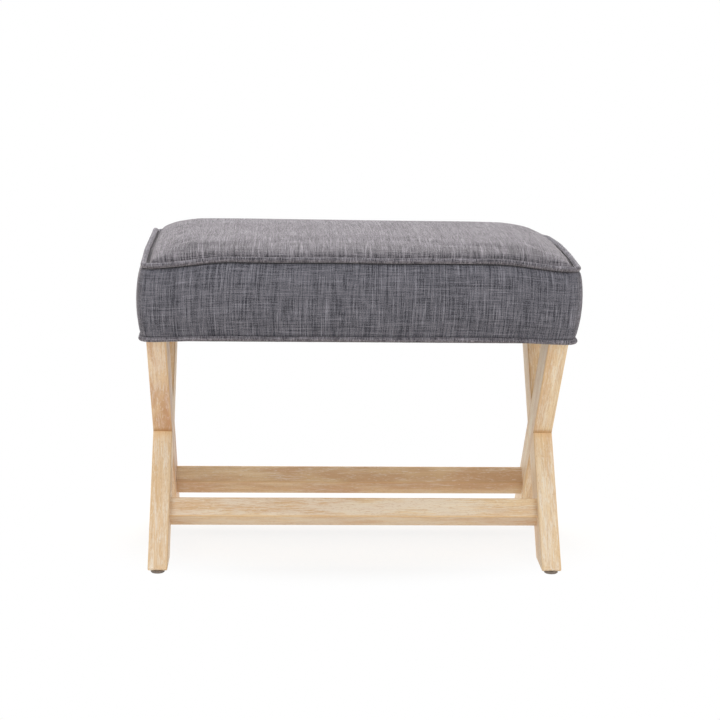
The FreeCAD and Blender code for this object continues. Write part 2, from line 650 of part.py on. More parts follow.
for end, end_way in (("front", -1), ("rear", 1)):
    rail = doc.addObject("PartDesign::Body", "LongRail")
    outer_y = f"({end_way} * {RAIL_Y})"
    inner_y = f"({end_way} * {RAIL_INNER_Y})"
    pad(rail, "XY_Plane", ("0", "0", RAIL_Z), [
        (f"-{RAIL_X}", outer_y), (RAIL_X, outer_y), (RAIL_X, inner_y), (f"-{RAIL_X}", inner_y),
    ], "Sizes.rail_height")
    rounded_y = end_way * size("seat_depth") / 2
    round_edges(
        rail, "Sizes.frame_corner_radius",
        lambda edge: runs_along(edge, 2) and abs(edge.CenterOfMass.y - rounded_y) < 0.01,
    )
    keep(f"seat_rail_{end}", bored(rail, rail_screw_holes, deck_screw_holes, block_screw_holes, staples))

for side, side_way in (("left", -1), ("right", 1)):
    rail = doc.addObject("PartDesign::Body", "SideRail")
    outer_x = f"({side_way} * {RAIL_X})"
    inner_x = f"({side_way} * {SIDE_RAIL_INNER_X})"
    pad(rail, "XY_Plane", ("0", "0", RAIL_Z), [
        (outer_x, f"-{RAIL_INNER_Y}"), (inner_x, f"-{RAIL_INNER_Y}"), (inner_x, RAIL_INNER_Y), (outer_x, RAIL_INNER_Y),
    ], "Sizes.rail_height")
    keep(f"seat_rail_{side}", bored(
        rail, rail_screw_holes, deck_screw_holes, block_screw_holes, threaded_insert_holes))

for end, end_way in (("front", -1), ("rear", 1)):
    for side, side_way in (("left", -1), ("right", 1)):
        block = doc.addObject("PartDesign::Body", "Block")
        corners = [("0", "0"), ("Sizes.block_leg", "0"), ("Sizes.block_leg", "Sizes.block_tip"),
                   ("Sizes.block_tip", "Sizes.block_leg"), ("0", "Sizes.block_leg")]
        pad(block, "XY_Plane", ("0", "0", f"{DECK_Z} - Sizes.block_height"), [
            (f"{side_way} * ({SIDE_RAIL_INNER_X} - {across})", f"{end_way} * ({RAIL_INNER_Y} - {along})")
            for across, along in corners
        ], "Sizes.block_height")
        keep(f"corner_block_{end}_{side}", bored(block, block_screw_holes))

deck = doc.addObject("PartDesign::Body", "Deck")
pad(deck, "XY_Plane", ("0", "0", DECK_Z), rectangle(RAIL_X, RAIL_Y), "Sizes.deck_thick")
round_edges(deck, "Sizes.frame_corner_radius", lambda edge: runs_along(edge, 2))
keep("seat_deck", bored(deck, deck_screw_holes))


# The padding and the cover. Their forms are lofts through level, rounded rectangles, which a
# cover, its batting and its foam share, each set in from the one outside it.

rail_x = size("frame_span") / 2 - size("rail_inset")
rail_y = size("seat_depth") / 2
hem_z = size("underside_height") + size("dust_cover_thick")
rail_z = hem_z + size("cover_thick")
deck_top_z = rail_z + size("rail_height") + size("deck_thick")
bulge_z = size("underside_height") + size("bulge_height")
seam_z = size("underside_height") + size("seam_height")


def rounded_rectangle(stand, z, draw_in=0):
    """A level outline outside the seat frame by stand, or drawn in from there towards the crown."""
    half_x = rail_x + stand - draw_in
    half_y = rail_y + stand - draw_in
    radius = size("frame_corner_radius") + stand + draw_in / 8
    edges = []
    corners = [(1, -1, -90), (1, 1, 0), (-1, 1, 90), (-1, -1, 180)]
    starts = []
    for way_x, way_y, angle in corners:
        centre = FreeCAD.Vector(way_x * (half_x - radius), way_y * (half_y - radius), z)
        points = []
        for turn in (0, 45, 90):
            direction = math.radians(angle + turn)
            points.append(centre + radius * FreeCAD.Vector(math.cos(direction), math.sin(direction), 0))
        starts.append(points)
    for i, points in enumerate(starts):
        edges.append(Part.Arc(*points).toShape())
        edges.append(Part.LineSegment(points[2], starts[(i + 1) % 4][0]).toShape())
    return Part.Wire(edges)


SIDE_LEVELS = [(size("hem_stand"), hem_z), (size("bulge_stand"), bulge_z), (size("seam_stand"), seam_z)]


def side_form(inset):
    """The seat's sides from the lower edge to the top seam, fullest between the two."""
    return Part.makeLoft([rounded_rectangle(stand - inset, z) for stand, z in SIDE_LEVELS], True)


def side_stand_and_slope(z):
    """The parabola through the three levels: how far the side stands out at z, and how it leans there."""
    stand = 0
    slope = 0
    for i, (level_stand, level_z) in enumerate(SIDE_LEVELS):
        (_, z1), (_, z2) = [level for j, level in enumerate(SIDE_LEVELS) if j != i]
        weight = level_stand / ((level_z - z1) * (level_z - z2))
        stand += weight * (z - z1) * (z - z2)
        slope += weight * (2 * z - z1 - z2)
    return stand, slope


# The crown's profile: how far each level is drawn in, as a share of the half depth, and how high
# it is, as a share of the crown's rise
CROWN_PROFILE = [(0, 0), (0.03, 0.22), (0.08, 0.41), (0.17, 0.60), (0.31, 0.76), (0.52, 0.90), (0.80, 1)]


def crown_levels(inset, drop):
    levels = []
    for draw_share, rise_share in CROWN_PROFILE:
        z = seam_z + rise_share * size("crown_height") - drop
        levels.append(rounded_rectangle(size("seam_stand") - inset, z, draw_share * rail_y))
    return levels


def smooth_loft(levels):
    """A solid through the levels; cubic curves keep it from swinging out between them."""
    return Part.makeLoft(levels, True, False, False, 3)


def crown_form(inset, drop):
    return smooth_loft(crown_levels(inset, drop))


def slab(stand, bottom, top):
    """An upright slab with the seat frame's outline, moved out by stand."""
    return Part.Face(rounded_rectangle(stand, bottom)).extrude(FreeCAD.Vector(0, 0, top - bottom))


def soft_node(name, shape):
    feature = doc.addObject("Part::Feature", name)
    feature.Shape = shape
    return keep(name, feature)


# Foam pad: flat on the deck, drawn in a little towards the top seam, crowned above it
foam_inset = size("cover_thick") + size("batting_side") + 2 * size("batting_clearance")
foam_drop = size("cover_thick") + size("batting_top") + 2 * size("batting_clearance")


def foam_form(grow):
    foot = [rounded_rectangle(grow, deck_top_z), rounded_rectangle(grow, deck_top_z + size("batting_top"))]
    return smooth_loft(foot + crown_levels(foam_inset - grow, foam_drop - grow))


soft_node("foam_pad", foam_form(0))

# Batting: wraps the foam, the deck and the rails' outer faces, open underneath
batting_inset = size("cover_thick") + size("batting_clearance")
batting_sides = side_form(batting_inset).common(
    slab(size("bulge_stand"), rail_z + size("batting_lift"), seam_z - batting_inset))
batting_hollow = slab(size("batting_clearance"), rail_z, deck_top_z).fuse(foam_form(size("batting_clearance")))
batting = batting_sides.fuse(crown_form(batting_inset, batting_inset)).cut(batting_hollow).removeSplitter()
soft_node("batting_wrap", batting)

# Cover: a crowned top panel, and four boxing panels that meet at the corners' middles and turn in
# under the rails
cover_thick = size("cover_thick")
soft_node("cover_top_panel", crown_form(0, 0).cut(crown_form(cover_thick, cover_thick)))

flap_x = rail_x + size("hem_stand") - size("cover_flap")
flap_y = rail_y + size("hem_stand") - size("cover_flap")
flap_opening = Part.makeBox(
    2 * flap_x, 2 * flap_y, 3 * cover_thick, FreeCAD.Vector(-flap_x, -flap_y, hem_z - cover_thick))
flap = slab(size("hem_stand"), hem_z, rail_z).cut(flap_opening)
boxing = side_form(0).cut(side_form(cover_thick)).fuse(flap)


def boxing_quarter(corner_angle, next_angle):
    """The wedge of space between two corners' middle lines, as seen from above."""
    centre_x = rail_x - size("frame_corner_radius")
    centre_y = rail_y - size("frame_corner_radius")
    points = []
    for angle, reach in ((corner_angle, 0), (corner_angle, 1), (next_angle, 1), (next_angle, 0)):
        way_x = math.copysign(1, math.cos(math.radians(angle)))
        way_y = math.copysign(1, math.sin(math.radians(angle)))
        out = reach * 3 * size("cover_flap")
        points.append(FreeCAD.Vector(way_x * (centre_x + out), way_y * (centre_y + out), hem_z - cover_thick))
    inner = [FreeCAD.Vector(0, 0, hem_z - cover_thick)]
    outline = Part.makePolygon(points + inner + [points[0]])
    return Part.Face(outline).extrude(FreeCAD.Vector(0, 0, size("seam_height") + 2 * cover_thick))


for name, corner_angle, next_angle, tool in (
    ("boxing_front", 225, 315, staples),
    ("boxing_right", 315, 45, seat_bolt_holes),
    ("boxing_rear", 45, 135, staples),
    ("boxing_left", 135, 225, seat_bolt_holes),
):
    panel = doc.addObject("Part::Feature", "Panel")
    panel.Shape = boxing.common(boxing_quarter(corner_angle, next_angle))
    keep(name, bored(panel, tool))


# Piping: a cloth sleeve round a cord, laid against the cover's upper and lower edges

def tube(path_stand, z, diameter):
    path = rounded_rectangle(path_stand, z)
    start = path.Edges[1].Vertexes[0].Point
    along = path.Edges[1].tangentAt(path.Edges[1].FirstParameter)
    path = Part.Wire([path.Edges[(i + 1) % len(path.Edges)] for i in range(len(path.Edges))])
    section = Part.Wire([Part.makeCircle(diameter / 2, start, along)])
    return path.makePipeShell([section], True, False)


for name, z, diameter in (
    ("top_welt", seam_z, size("welt_diameter")),
    ("bottom_welt", size("underside_height") + size("hem_welt_diameter") / 2, size("hem_welt_diameter")),
):
    stand, slope = side_stand_and_slope(z)
    path_stand = stand + (size("welt_gap") + diameter / 2) * math.hypot(1, slope)
    bore = diameter - 2 * size("welt_sleeve_thick")
    soft_node(name, tube(path_stand, z, diameter).cut(tube(path_stand, z, bore)))
    soft_node(f"{name}_cord", tube(path_stand, z, min(size("welt_cord_diameter"), bore - size("welt_gap"))))


# Check every object, then write each piece to its own file

doc.recompute()
for item in doc.Objects:
    if {"Invalid", "Error"} & set(item.State):
        raise RuntimeError(f"{item.Name} did not compute: {item.State}")
for name, piece in NODES.items():
    if piece.Shape.isNull() or not piece.Shape.isValid() or not piece.Shape.Solids:
        raise RuntimeError(f"{name} has no valid solid")

os.makedirs("parts", exist_ok=True)
for name, piece in NODES.items():
    piece.Shape.exportStep(f"parts/{name}.step")
    box = piece.Shape.optimalBoundingBox()
    print(f"{name}: {len(piece.Shape.Solids)} solids, volume {piece.Shape.Volume:.0f},"
          f" x {box.XMin:.1f}..{box.XMax:.1f} y {box.YMin:.1f}..{box.YMax:.1f} z {box.ZMin:.1f}..{box.ZMax:.1f}")
print(f"{len(NODES)} nodes")
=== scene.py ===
import math

import bmesh
import bpy
from mathutils import Euler, Matrix, Vector, noise


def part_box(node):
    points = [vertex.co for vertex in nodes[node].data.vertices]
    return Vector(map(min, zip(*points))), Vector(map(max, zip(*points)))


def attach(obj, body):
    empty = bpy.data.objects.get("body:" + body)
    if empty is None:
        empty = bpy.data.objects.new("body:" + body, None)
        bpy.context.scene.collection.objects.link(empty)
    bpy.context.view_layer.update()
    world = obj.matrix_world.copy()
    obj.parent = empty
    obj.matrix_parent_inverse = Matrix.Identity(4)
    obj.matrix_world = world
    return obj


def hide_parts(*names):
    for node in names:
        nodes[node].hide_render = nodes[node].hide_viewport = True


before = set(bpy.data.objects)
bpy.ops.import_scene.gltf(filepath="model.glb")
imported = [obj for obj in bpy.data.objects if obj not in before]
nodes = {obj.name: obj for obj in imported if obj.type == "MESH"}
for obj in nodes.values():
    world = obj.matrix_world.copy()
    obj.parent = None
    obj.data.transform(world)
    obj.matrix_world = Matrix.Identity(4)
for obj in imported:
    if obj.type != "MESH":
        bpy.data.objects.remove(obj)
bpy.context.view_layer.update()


# Legs: eight-quarter bars of pale hardwood, cut to a slope and halved into each other as two X
# frames. The wood is brushed along its grain and rubbed with white lime, which stays in the open
# grain and wears off the arrises, so those look golden.

def srgb(red, green, blue):
    """A colour from the 0 to 255 values that a screen shows."""
    linear = []
    for part in (red / 255, green / 255, blue / 255):
        linear.append(part / 12.92 if part <= 0.04045 else ((part + 0.055) / 1.055) ** 2.4)
    return (*linear, 1.0)


def add(tree, kind, inputs=None, **settings):
    """A node with its settings; each input is either a plain value or a socket to link."""
    node = tree.nodes.new(kind)
    for name, value in settings.items():
        setattr(node, name, value)
    for key, value in (inputs or {}).items():
        if isinstance(value, bpy.types.NodeSocket):
            tree.links.new(value, node.inputs[key])
        else:
            node.inputs[key].default_value = value
    return node


def noise_at(tree, vector, stretch, detail=3.0, roughness=0.55, offset=(0, 0, 0)):
    """Noise whose spots are as long as 1 / stretch metres along each axis."""
    placed = add(tree, "ShaderNodeMapping", {"Vector": vector, "Scale": stretch, "Location": offset})
    spots = add(tree, "ShaderNodeTexNoise", {
        "Vector": placed.outputs[0], "Scale": 1.0, "Detail": detail, "Roughness": roughness})
    return spots.outputs["Fac"]


def between(tree, value, low, high, to_low=0.0, to_high=1.0):
    """A smooth step from to_low to to_high while the value goes from low to high."""
    step = add(tree, "ShaderNodeMapRange", {
        "Value": value, "From Min": low, "From Max": high, "To Min": to_low, "To Max": to_high},
        interpolation_type="SMOOTHSTEP")
    return step.outputs[0]


def maths(tree, operation, first, second=0.0, third=0.0):
    """One sum with values or sockets."""
    node = add(tree, "ShaderNodeMath", {0: first, 1: second, 2: third}, operation=operation)
    return node.outputs[0]


def blend(tree, factor, first, second, mode="MIX"):
    """Two colours mixed by a factor."""
    node = add(tree, "ShaderNodeMix", {0: factor, 6: first, 7: second}, data_type="RGBA", blend_type=mode)
    return node.outputs[2]


def new_group(name, inputs, outputs):
    """An empty node group: (its tree, its input node, its output node)."""
    tree = bpy.data.node_groups.new(name, "ShaderNodeTree")
    for socket_name, kind, default in inputs:
        socket = tree.interface.new_socket(name=socket_name, in_out="INPUT", socket_type=kind)
        if default is not None:
            socket.default_value = default
    for socket_name, kind in outputs:
        tree.interface.new_socket(name=socket_name, in_out="OUTPUT", socket_type=kind)
    return tree, tree.nodes.new("NodeGroupInput"), tree.nodes.new("NodeGroupOutput")


def join_outputs(tree, leave, sockets):
    """Link a node group's results to its outputs."""
    for name, socket in sockets.items():
        tree.links.new(socket, leave.inputs[name])


def new_material(name, **shader):
    """A material with one Principled shader: (material, tree, shader node)."""
    material = bpy.data.materials.new(name)
    material.use_nodes = True
    tree = material.node_tree
    principled = tree.nodes["Principled BSDF"]
    for key, value in shader.items():
        principled.inputs[key.replace("_", " ")].default_value = value
    return material, tree, principled


def cover_surface(tree, principled, colour, height, distance, strength):
    """Give a shader its colour, and fine relief from a height."""
    tree.links.new(colour, principled.inputs["Base Color"])
    bump = add(tree, "ShaderNodeBump", {"Height": height, "Distance": distance, "Strength": strength})
    tree.links.new(bump.outputs[0], principled.inputs["Normal"])


def along_grain(tree, centre, rotation):
    """Object coordinates turned about a bar's middle, so that its grain runs along Z."""
    turned = Euler(rotation).to_matrix()
    place = add(tree, "ShaderNodeTexCoord").outputs["Object"]
    mapping = add(tree, "ShaderNodeMapping", {
        "Vector": place, "Rotation": rotation, "Location": -(turned @ Vector(centre))})
    return mapping.outputs[0]


def limed_grain_group():
    tree, enter, leave = new_group("limed_grain", [
        ("Vector", "NodeSocketVector", None),
        ("Half Width", "NodeSocketFloat", 0.027),
        ("Half Thickness", "NodeSocketFloat", 0.014),
        ("Lime", "NodeSocketFloat", 0.5),
        ("Warmth", "NodeSocketFloat", 0.5),
        ("Notch", "NodeSocketFloat", 1.0),
        ("Tint", "NodeSocketColor", (1.0, 1.0, 1.0, 1.0)),
        ("Seed", "NodeSocketVector", (0.0, 0.0, 0.0)),
    ], [("Color", "NodeSocketColor"), ("Roughness", "NodeSocketFloat"), ("Height", "NodeSocketFloat")])
    place = enter.outputs["Vector"]
    seeded = add(tree, "ShaderNodeVectorMath", {0: place, 1: enter.outputs["Seed"]}).outputs[0]

    # Broad tones of the wood itself, then its fine straight grain, then short flecks
    wander = noise_at(tree, seeded, (12, 12, 5), 2.0)
    bend = add(tree, "ShaderNodeVectorMath", {
        0: seeded, 1: maths(tree, "MULTIPLY", wander, 0.006)}).outputs[0]
    tone = noise_at(tree, bend, (42, 42, 5), 2.0)
    blush = noise_at(tree, bend, (34, 34, 7), 2.0, offset=(4.2, 0.8, 6.6))
    streak = noise_at(tree, bend, (860, 860, 15), 2.0, 0.6)
    fleck = noise_at(tree, seeded, (940, 940, 210), 2.0, 0.6)
    lime_patches = noise_at(tree, seeded, (70, 70, 11), 2.0, offset=(3.1, 7.7, 1.3))
    lime_streaks = noise_at(tree, bend, (980, 980, 42), 2.0, 0.6, offset=(11.3, 2.9, 5.1))
    lime_dashes = noise_at(tree, seeded, (640, 640, 120), 2.0, 0.6, offset=(5.3, 8.8, 2.2))

    wood = blend(tree, between(tree, tone, 0.36, 0.64), srgb(237, 215, 181), srgb(230, 202, 161))
    blushed = maths(tree, "MULTIPLY", between(tree, blush, 0.42, 0.60), enter.outputs["Warmth"])
    wood = blend(tree, blushed, wood, srgb(206, 163, 125))
    wood = blend(tree, between(tree, streak, 0.42, 0.66, 0.0, 0.50), wood, srgb(202, 165, 121))

    # Distance from the nearest arris, where the lime is worn away, and from the notch of the cross
    cross = add(tree, "ShaderNodeSeparateXYZ", {0: place})
    from_side = maths(tree, "SUBTRACT", enter.outputs["Half Thickness"],
                      maths(tree, "ABSOLUTE", cross.outputs[0]))
    from_face = maths(tree, "SUBTRACT", enter.outputs["Half Width"],
                      maths(tree, "ABSOLUTE", cross.outputs[1]))
    from_arris = maths(tree, "MAXIMUM", from_side, from_face)
    ragged = maths(tree, "MULTIPLY_ADD", lime_streaks, 0.003, from_arris)
    arris = between(tree, ragged, 0.0022, 0.0046, 1.0, 0.0)
    on_edge = between(tree, from_face, 0.0004, 0.0016, 1.0, 0.0)
    up_from_notch = maths(tree, "SUBTRACT", cross.outputs[2], enter.outputs["Notch"])
    above_notch = maths(tree, "MULTIPLY", between(tree, up_from_notch, 0.0, 0.011, 1.0, 0.0),
                        maths(tree, "GREATER_THAN", up_from_notch, -0.002))
    down_from_notch = maths(tree, "SUBTRACT", maths(tree, "MULTIPLY", cross.outputs[2], -1.0),
                            enter.outputs["Notch"])
    below_notch = maths(tree, "MULTIPLY", between(tree, down_from_notch, 0.0, 0.016, 1.0, 0.0),
                        maths(tree, "GREATER_THAN", down_from_notch, -0.002))

    # White lime in patches, streaks and dashes; brown grain; a painted shadow above the notch
    lime_field = maths(tree, "MULTIPLY_ADD", lime_patches, 0.55, maths(tree, "MULTIPLY", lime_streaks, 0.75))
    lime_limit = maths(tree, "SUBTRACT", 0.84, maths(tree, "MULTIPLY", enter.outputs["Lime"], 0.32))
    lime = between(tree, maths(tree, "SUBTRACT", lime_field, lime_limit), -0.03, 0.07, 0.0, 0.58)
    lime = maths(tree, "MAXIMUM", lime, between(tree, lime_dashes, 0.57, 0.67, 0.0, 0.50))
    rubbed = maths(tree, "MAXIMUM", arris, below_notch)
    lime = maths(tree, "MULTIPLY", lime, maths(tree, "SUBTRACT", 1.0, rubbed))
    colour = blend(tree, lime, wood, srgb(240, 232, 219))
    worn = maths(tree, "MULTIPLY", rubbed, 0.30)
    colour = blend(tree, worn, colour, srgb(222, 184, 130))
    colour = blend(tree, between(tree, fleck, 0.54, 0.70, 0.0, 0.45), colour, srgb(198, 162, 121))
    # Painted shadow: the narrow faces just above the notch are darkened orange-brown, where shade falls in
    # the crossing
    painted_notch_shadow = maths(tree, "MULTIPLY", maths(tree, "MULTIPLY", above_notch, on_edge), 0.75)
    colour = blend(tree, painted_notch_shadow, colour, srgb(182, 138, 86))
    # The tint multiplies the colour; on the rear stretcher it is painted shade from the seat above
    colour = blend(tree, 1.0, colour, enter.outputs["Tint"], "MULTIPLY")

    height = maths(tree, "MULTIPLY_ADD", streak, 0.6, maths(tree, "MULTIPLY", fleck, -0.4))
    join_outputs(tree, leave, {
        "Color": colour,
        "Roughness": between(tree, lime, 0.0, 1.0, 0.48, 0.68),
        "Height": height,
    })
    return tree


limed_grain = limed_grain_group()


def limed_wood(name, centre, rotation, half_width, half_thickness, lime, seed,
               warmth=0.5, notch=1.0, tint=(1, 1, 1, 1)):
    """The limed wood of one bar, its grain along the bar. A notch lies that far from the bar's middle; a
    bar without one has it at 1 m."""
    material, tree, principled = new_material(name)
    grain = add(tree, "ShaderNodeGroup", node_tree=limed_grain)
    tree.links.new(along_grain(tree, centre, rotation), grain.inputs["Vector"])
    for socket_name, value in (("Half Width", half_width), ("Half Thickness", half_thickness), ("Lime", lime),
                               ("Warmth", warmth), ("Notch", notch), ("Tint", tint), ("Seed", seed)):
        grain.inputs[socket_name].default_value = value
    tree.links.new(grain.outputs["Roughness"], principled.inputs["Roughness"])
    cover_surface(tree, principled, grain.outputs["Color"], grain.outputs["Height"], 0.00035, 0.6)
    return material


def finish_with(material, *names):
    """Give CAD pieces a material of their own."""
    for name in names:
        for material_slot in nodes[name].material_slots:
            material_slot.material = material


LEG_ANGLE = math.radians(41.075)
LEG_HALF_WIDTH = 0.027
LEG_HALF_THICKNESS = 0.014
NOTCH = LEG_HALF_WIDTH * math.tan(LEG_ANGLE)
CROSSING_X = 0.283
CROSSING_Z = 0.175
for name, side_way, lean, warmth, tint, seed in (
        ("left_leg_front_foot", -1, 1, 0.25, (1.0, 1.0, 1.0, 1), (1.7, 0.9, 2.3)),
        ("left_leg_rear_foot", -1, -1, 1.0, (0.92, 0.905, 0.93, 1), (3.4, 1.8, 4.563)),
        ("right_leg_front_foot", 1, 1, 0.35, (1.0, 1.0, 1.0, 1), (8.3, 4.1, 7.7)),
        ("right_leg_rear_foot", 1, -1, 0.45, (0.97, 0.99, 1.0, 1), (6.8, 3.6, 9.2))):
    finish_with(limed_wood(
        f"limed_wood_{name}", (side_way * CROSSING_X, 0, CROSSING_Z), (lean * LEG_ANGLE, 0, 0),
        LEG_HALF_WIDTH, LEG_HALF_THICKNESS, 0.5, seed, warmth, NOTCH, tint), name)


# Top cleats: a short bar of the same wood between each frame's leg tops, dowelled to them, which
# the seat is bolted to from below.

CLEAT_HALF_HEIGHT = 0.010
CLEAT_Z = 0.331
for side, side_way in (("left", -1), ("right", 1)):
    finish_with(limed_wood(
        f"limed_wood_{side}_cleat", (side_way * CROSSING_X, 0, CLEAT_Z), (math.pi / 2, 0, 0),
        CLEAT_HALF_HEIGHT, LEG_HALF_THICKNESS, 0.4, (side_way * 3.3, 6.1, 2.2)), f"{side}_top_cleat")


# Stretchers: two square bars between the frames, turned until their faces follow the legs' slope,
# each held by a dowel and a bolt at either end.

STRETCHER_HALF_SIDE = 0.0155
STRETCHER_Y, STRETCHER_Z = 0.09295, 0.0683
# The rear stretcher has less lime, more warmth and a darker tint: partly its own tone, partly painted shade
# for the seat's shadow over it
for end, end_way, lime, warmth, tint in (("front", -1, 0.70, 0.45, (1, 0.98, 0.95, 1)),
                                         ("rear", 1, 0.28, 0.75, (0.84, 0.81, 0.77, 1))):
    finish_with(limed_wood(
        f"limed_wood_{end}_stretcher", (0, end_way * STRETCHER_Y, STRETCHER_Z),
        (-end_way * LEG_ANGLE, -math.pi / 2, 0), STRETCHER_HALF_SIDE, STRETCHER_HALF_SIDE,
        lime, (7.7, end_way * 5.2, 1.1), warmth, tint=tint), f"{end}_stretcher")


# Dowels: fluted beech pins glued into the half-laps, the cleats and the stretchers' ends.

def turned_beech():
    material, tree, principled = new_material("beech_dowel", Roughness=0.6)
    place = add(tree, "ShaderNodeTexCoord").outputs["Object"]
    streak = noise_at(tree, place, (420, 60, 60), 3.0, 0.6, offset=(4.4, 4.4, 0))
    fleck = noise_at(tree, place, (900, 260, 260), 2.0, offset=(0, 4.4, 4.4))
    colour = blend(tree, between(tree, streak, 0.35, 0.68), srgb(214, 180, 136), srgb(190, 150, 104))
    colour = blend(tree, between(tree, fleck, 0.58, 0.70, 0.0, 0.5), colour, srgb(150, 112, 72))
    cover_surface(tree, principled, colour, streak, 0.0002, 0.5)
    return material


finish_with(turned_beech(), "lap_dowels", "cleat_dowels", "stretcher_dowels")


# Bolts and their inserts, washers, screws, nails and staples: plated steel, blackened on the bolts.

def plated_steel(name, colour, roughness, coating):
    material, tree, principled = new_material(name, Metallic=1.0)
    place = add(tree, "ShaderNodeTexCoord").outputs["Object"]
    mottle = noise_at(tree, place, (160, 160, 160), 3.0)
    scratch = noise_at(tree, place, (2400, 300, 300), 2.0)
    tint = blend(tree, between(tree, mottle, 0.35, 0.7), colour, coating)
    polish = between(tree, scratch, 0.3, 0.75, roughness - 0.08, roughness + 0.1)
    tree.links.new(polish, principled.inputs["Roughness"])
    cover_surface(tree, principled, tint, scratch, 0.00005, 0.4)
    return material


finish_with(plated_steel("black_oxide_steel", srgb(58, 56, 54), 0.42, srgb(40, 39, 40)),
            "stretcher_bolts", "seat_bolts")
finish_with(plated_steel("zinc_plated_steel", srgb(186, 188, 190), 0.34, srgb(160, 164, 170)),
            "seat_bolt_washers", "threaded_inserts", "stretcher_inserts", "rail_screws",
            "corner_block_screws", "deck_screws", "glide_nails", "dust_cover_staples")


# Floor glides: a brown-grey nylon disc nailed under each foot, scuffed where it slides.

glide_nylon, tree, principled = new_material("glide_nylon", Roughness=0.55)
place = add(tree, "ShaderNodeTexCoord").outputs["Object"]
scuff = noise_at(tree, place, (900, 900, 900), 3.0)
glide_colour = blend(tree, between(tree, scuff, 0.45, 0.7), srgb(112, 101, 92), srgb(152, 140, 128))
tree.links.new(between(tree, scuff, 0.3, 0.7, 0.45, 0.7), principled.inputs["Roughness"])
cover_surface(tree, principled, glide_colour, scuff, 0.0001, 0.5)
finish_with(glide_nylon, "glide_front_left", "glide_front_right", "glide_rear_left", "glide_rear_right")


# Seat frame: four pine rails screwed at the corners, with triangular glue blocks inside. The wood
# is planed and left bare, with early and late wood in bands.

def bare_pine(name, stretch, bands, seed):
    material, tree, principled = new_material(name, Roughness=0.62)
    place = add(tree, "ShaderNodeTexCoord").outputs["Object"]
    rings = noise_at(tree, place, bands, 1.5, 0.45, offset=(seed, seed * 2, seed * 3))
    late_wood = maths(tree, "FRACT", maths(tree, "MULTIPLY", rings, 7.0))
    streak = noise_at(tree, place, stretch, 3.0, 0.6, offset=(seed, 0, seed))
    colour = blend(tree, between(tree, late_wood, 0.35, 0.95), srgb(226, 194, 146), srgb(196, 148, 94))
    colour = blend(tree, between(tree, streak, 0.35, 0.7, 0.0, 0.45), colour, srgb(206, 168, 120))
    cover_surface(tree, principled, colour, maths(tree, "ADD", late_wood, streak), 0.0002, 0.5)
    return material


finish_with(bare_pine("bare_pine_long_rails", (12, 500, 500), (1.5, 45, 45), 2.1),
            "seat_rail_front", "seat_rail_rear")
finish_with(bare_pine("bare_pine_side_rails", (500, 12, 500), (45, 1.5, 45), 5.7),
            "seat_rail_left", "seat_rail_right")
finish_with(bare_pine("bare_pine_blocks", (500, 500, 20), (50, 50, 3), 8.3),
            "corner_block_front_left", "corner_block_front_right", "corner_block_rear_left",
            "corner_block_rear_right")


# Seat deck: a board of birch plywood screwed down on the rails; its edges show the plies, light
# and dark in turn.

deck_low, deck_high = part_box("seat_deck")
birch_plywood, tree, principled = new_material("birch_plywood", Roughness=0.58)
place = add(tree, "ShaderNodeTexCoord").outputs["Object"]
facing = add(tree, "ShaderNodeSeparateXYZ", {0: add(tree, "ShaderNodeTexCoord").outputs["Normal"]})
edge = between(tree, maths(tree, "ABSOLUTE", facing.outputs[2]), 0.3, 0.7, 1.0, 0.0)
face_grain = noise_at(tree, place, (14, 260, 260), 3.0, 0.6)
face_figure = noise_at(tree, place, (3, 22, 22), 2.0, 0.5, offset=(4, 1, 0))
ply_height = add(tree, "ShaderNodeSeparateXYZ", {0: place}).outputs[2]
PLY_THICKNESS = (deck_high.z - deck_low.z) / 7
ply_count = maths(tree, "DIVIDE", maths(tree, "SUBTRACT", ply_height, deck_low.z), PLY_THICKNESS)
ply = maths(tree, "PINGPONG", ply_count, 1.0)
face_colour = blend(tree, between(tree, face_grain, 0.35, 0.7), srgb(224, 196, 152), srgb(206, 172, 124))
face_colour = blend(tree, between(tree, face_figure, 0.45, 0.6, 0.0, 0.4), face_colour, srgb(192, 152, 104))
edge_colour = blend(tree, between(tree, ply, 0.4, 0.6), srgb(216, 184, 138), srgb(164, 118, 74))
deck_colour = blend(tree, edge, face_colour, edge_colour)
cover_surface(tree, principled, deck_colour, face_grain, 0.00015, 0.5)
finish_with(birch_plywood, "seat_deck")


# Foam pad: one block of polyurethane foam glued to the deck, with its upper edges cut away so that
# the seat is crowned.

RAILS = ("seat_rail_front", "seat_rail_rear", "seat_rail_left", "seat_rail_right")
RAIL_HALF_X = max(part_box(name)[1].x for name in RAILS)
RAIL_HALF_Y = max(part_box(name)[1].y for name in RAILS)
CORNER_RADIUS = 0.012
HEM_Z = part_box("boxing_front")[0].z
SEAM_LIFT = 0.0065
SEAM_Z = (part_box("top_welt")[0].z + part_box("top_welt")[1].z) / 2 + SEAM_LIFT
DECK_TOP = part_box("seat_deck")[1].z
MEAN_STAND = 0.008
SWELLING_LENGTH = 0.030
LONG_PIECES, SHORT_PIECES = 92, 61
ARC_TURNS = [math.radians(turn) for turn in (45, 41.5, 36, 28, 16, 0)]


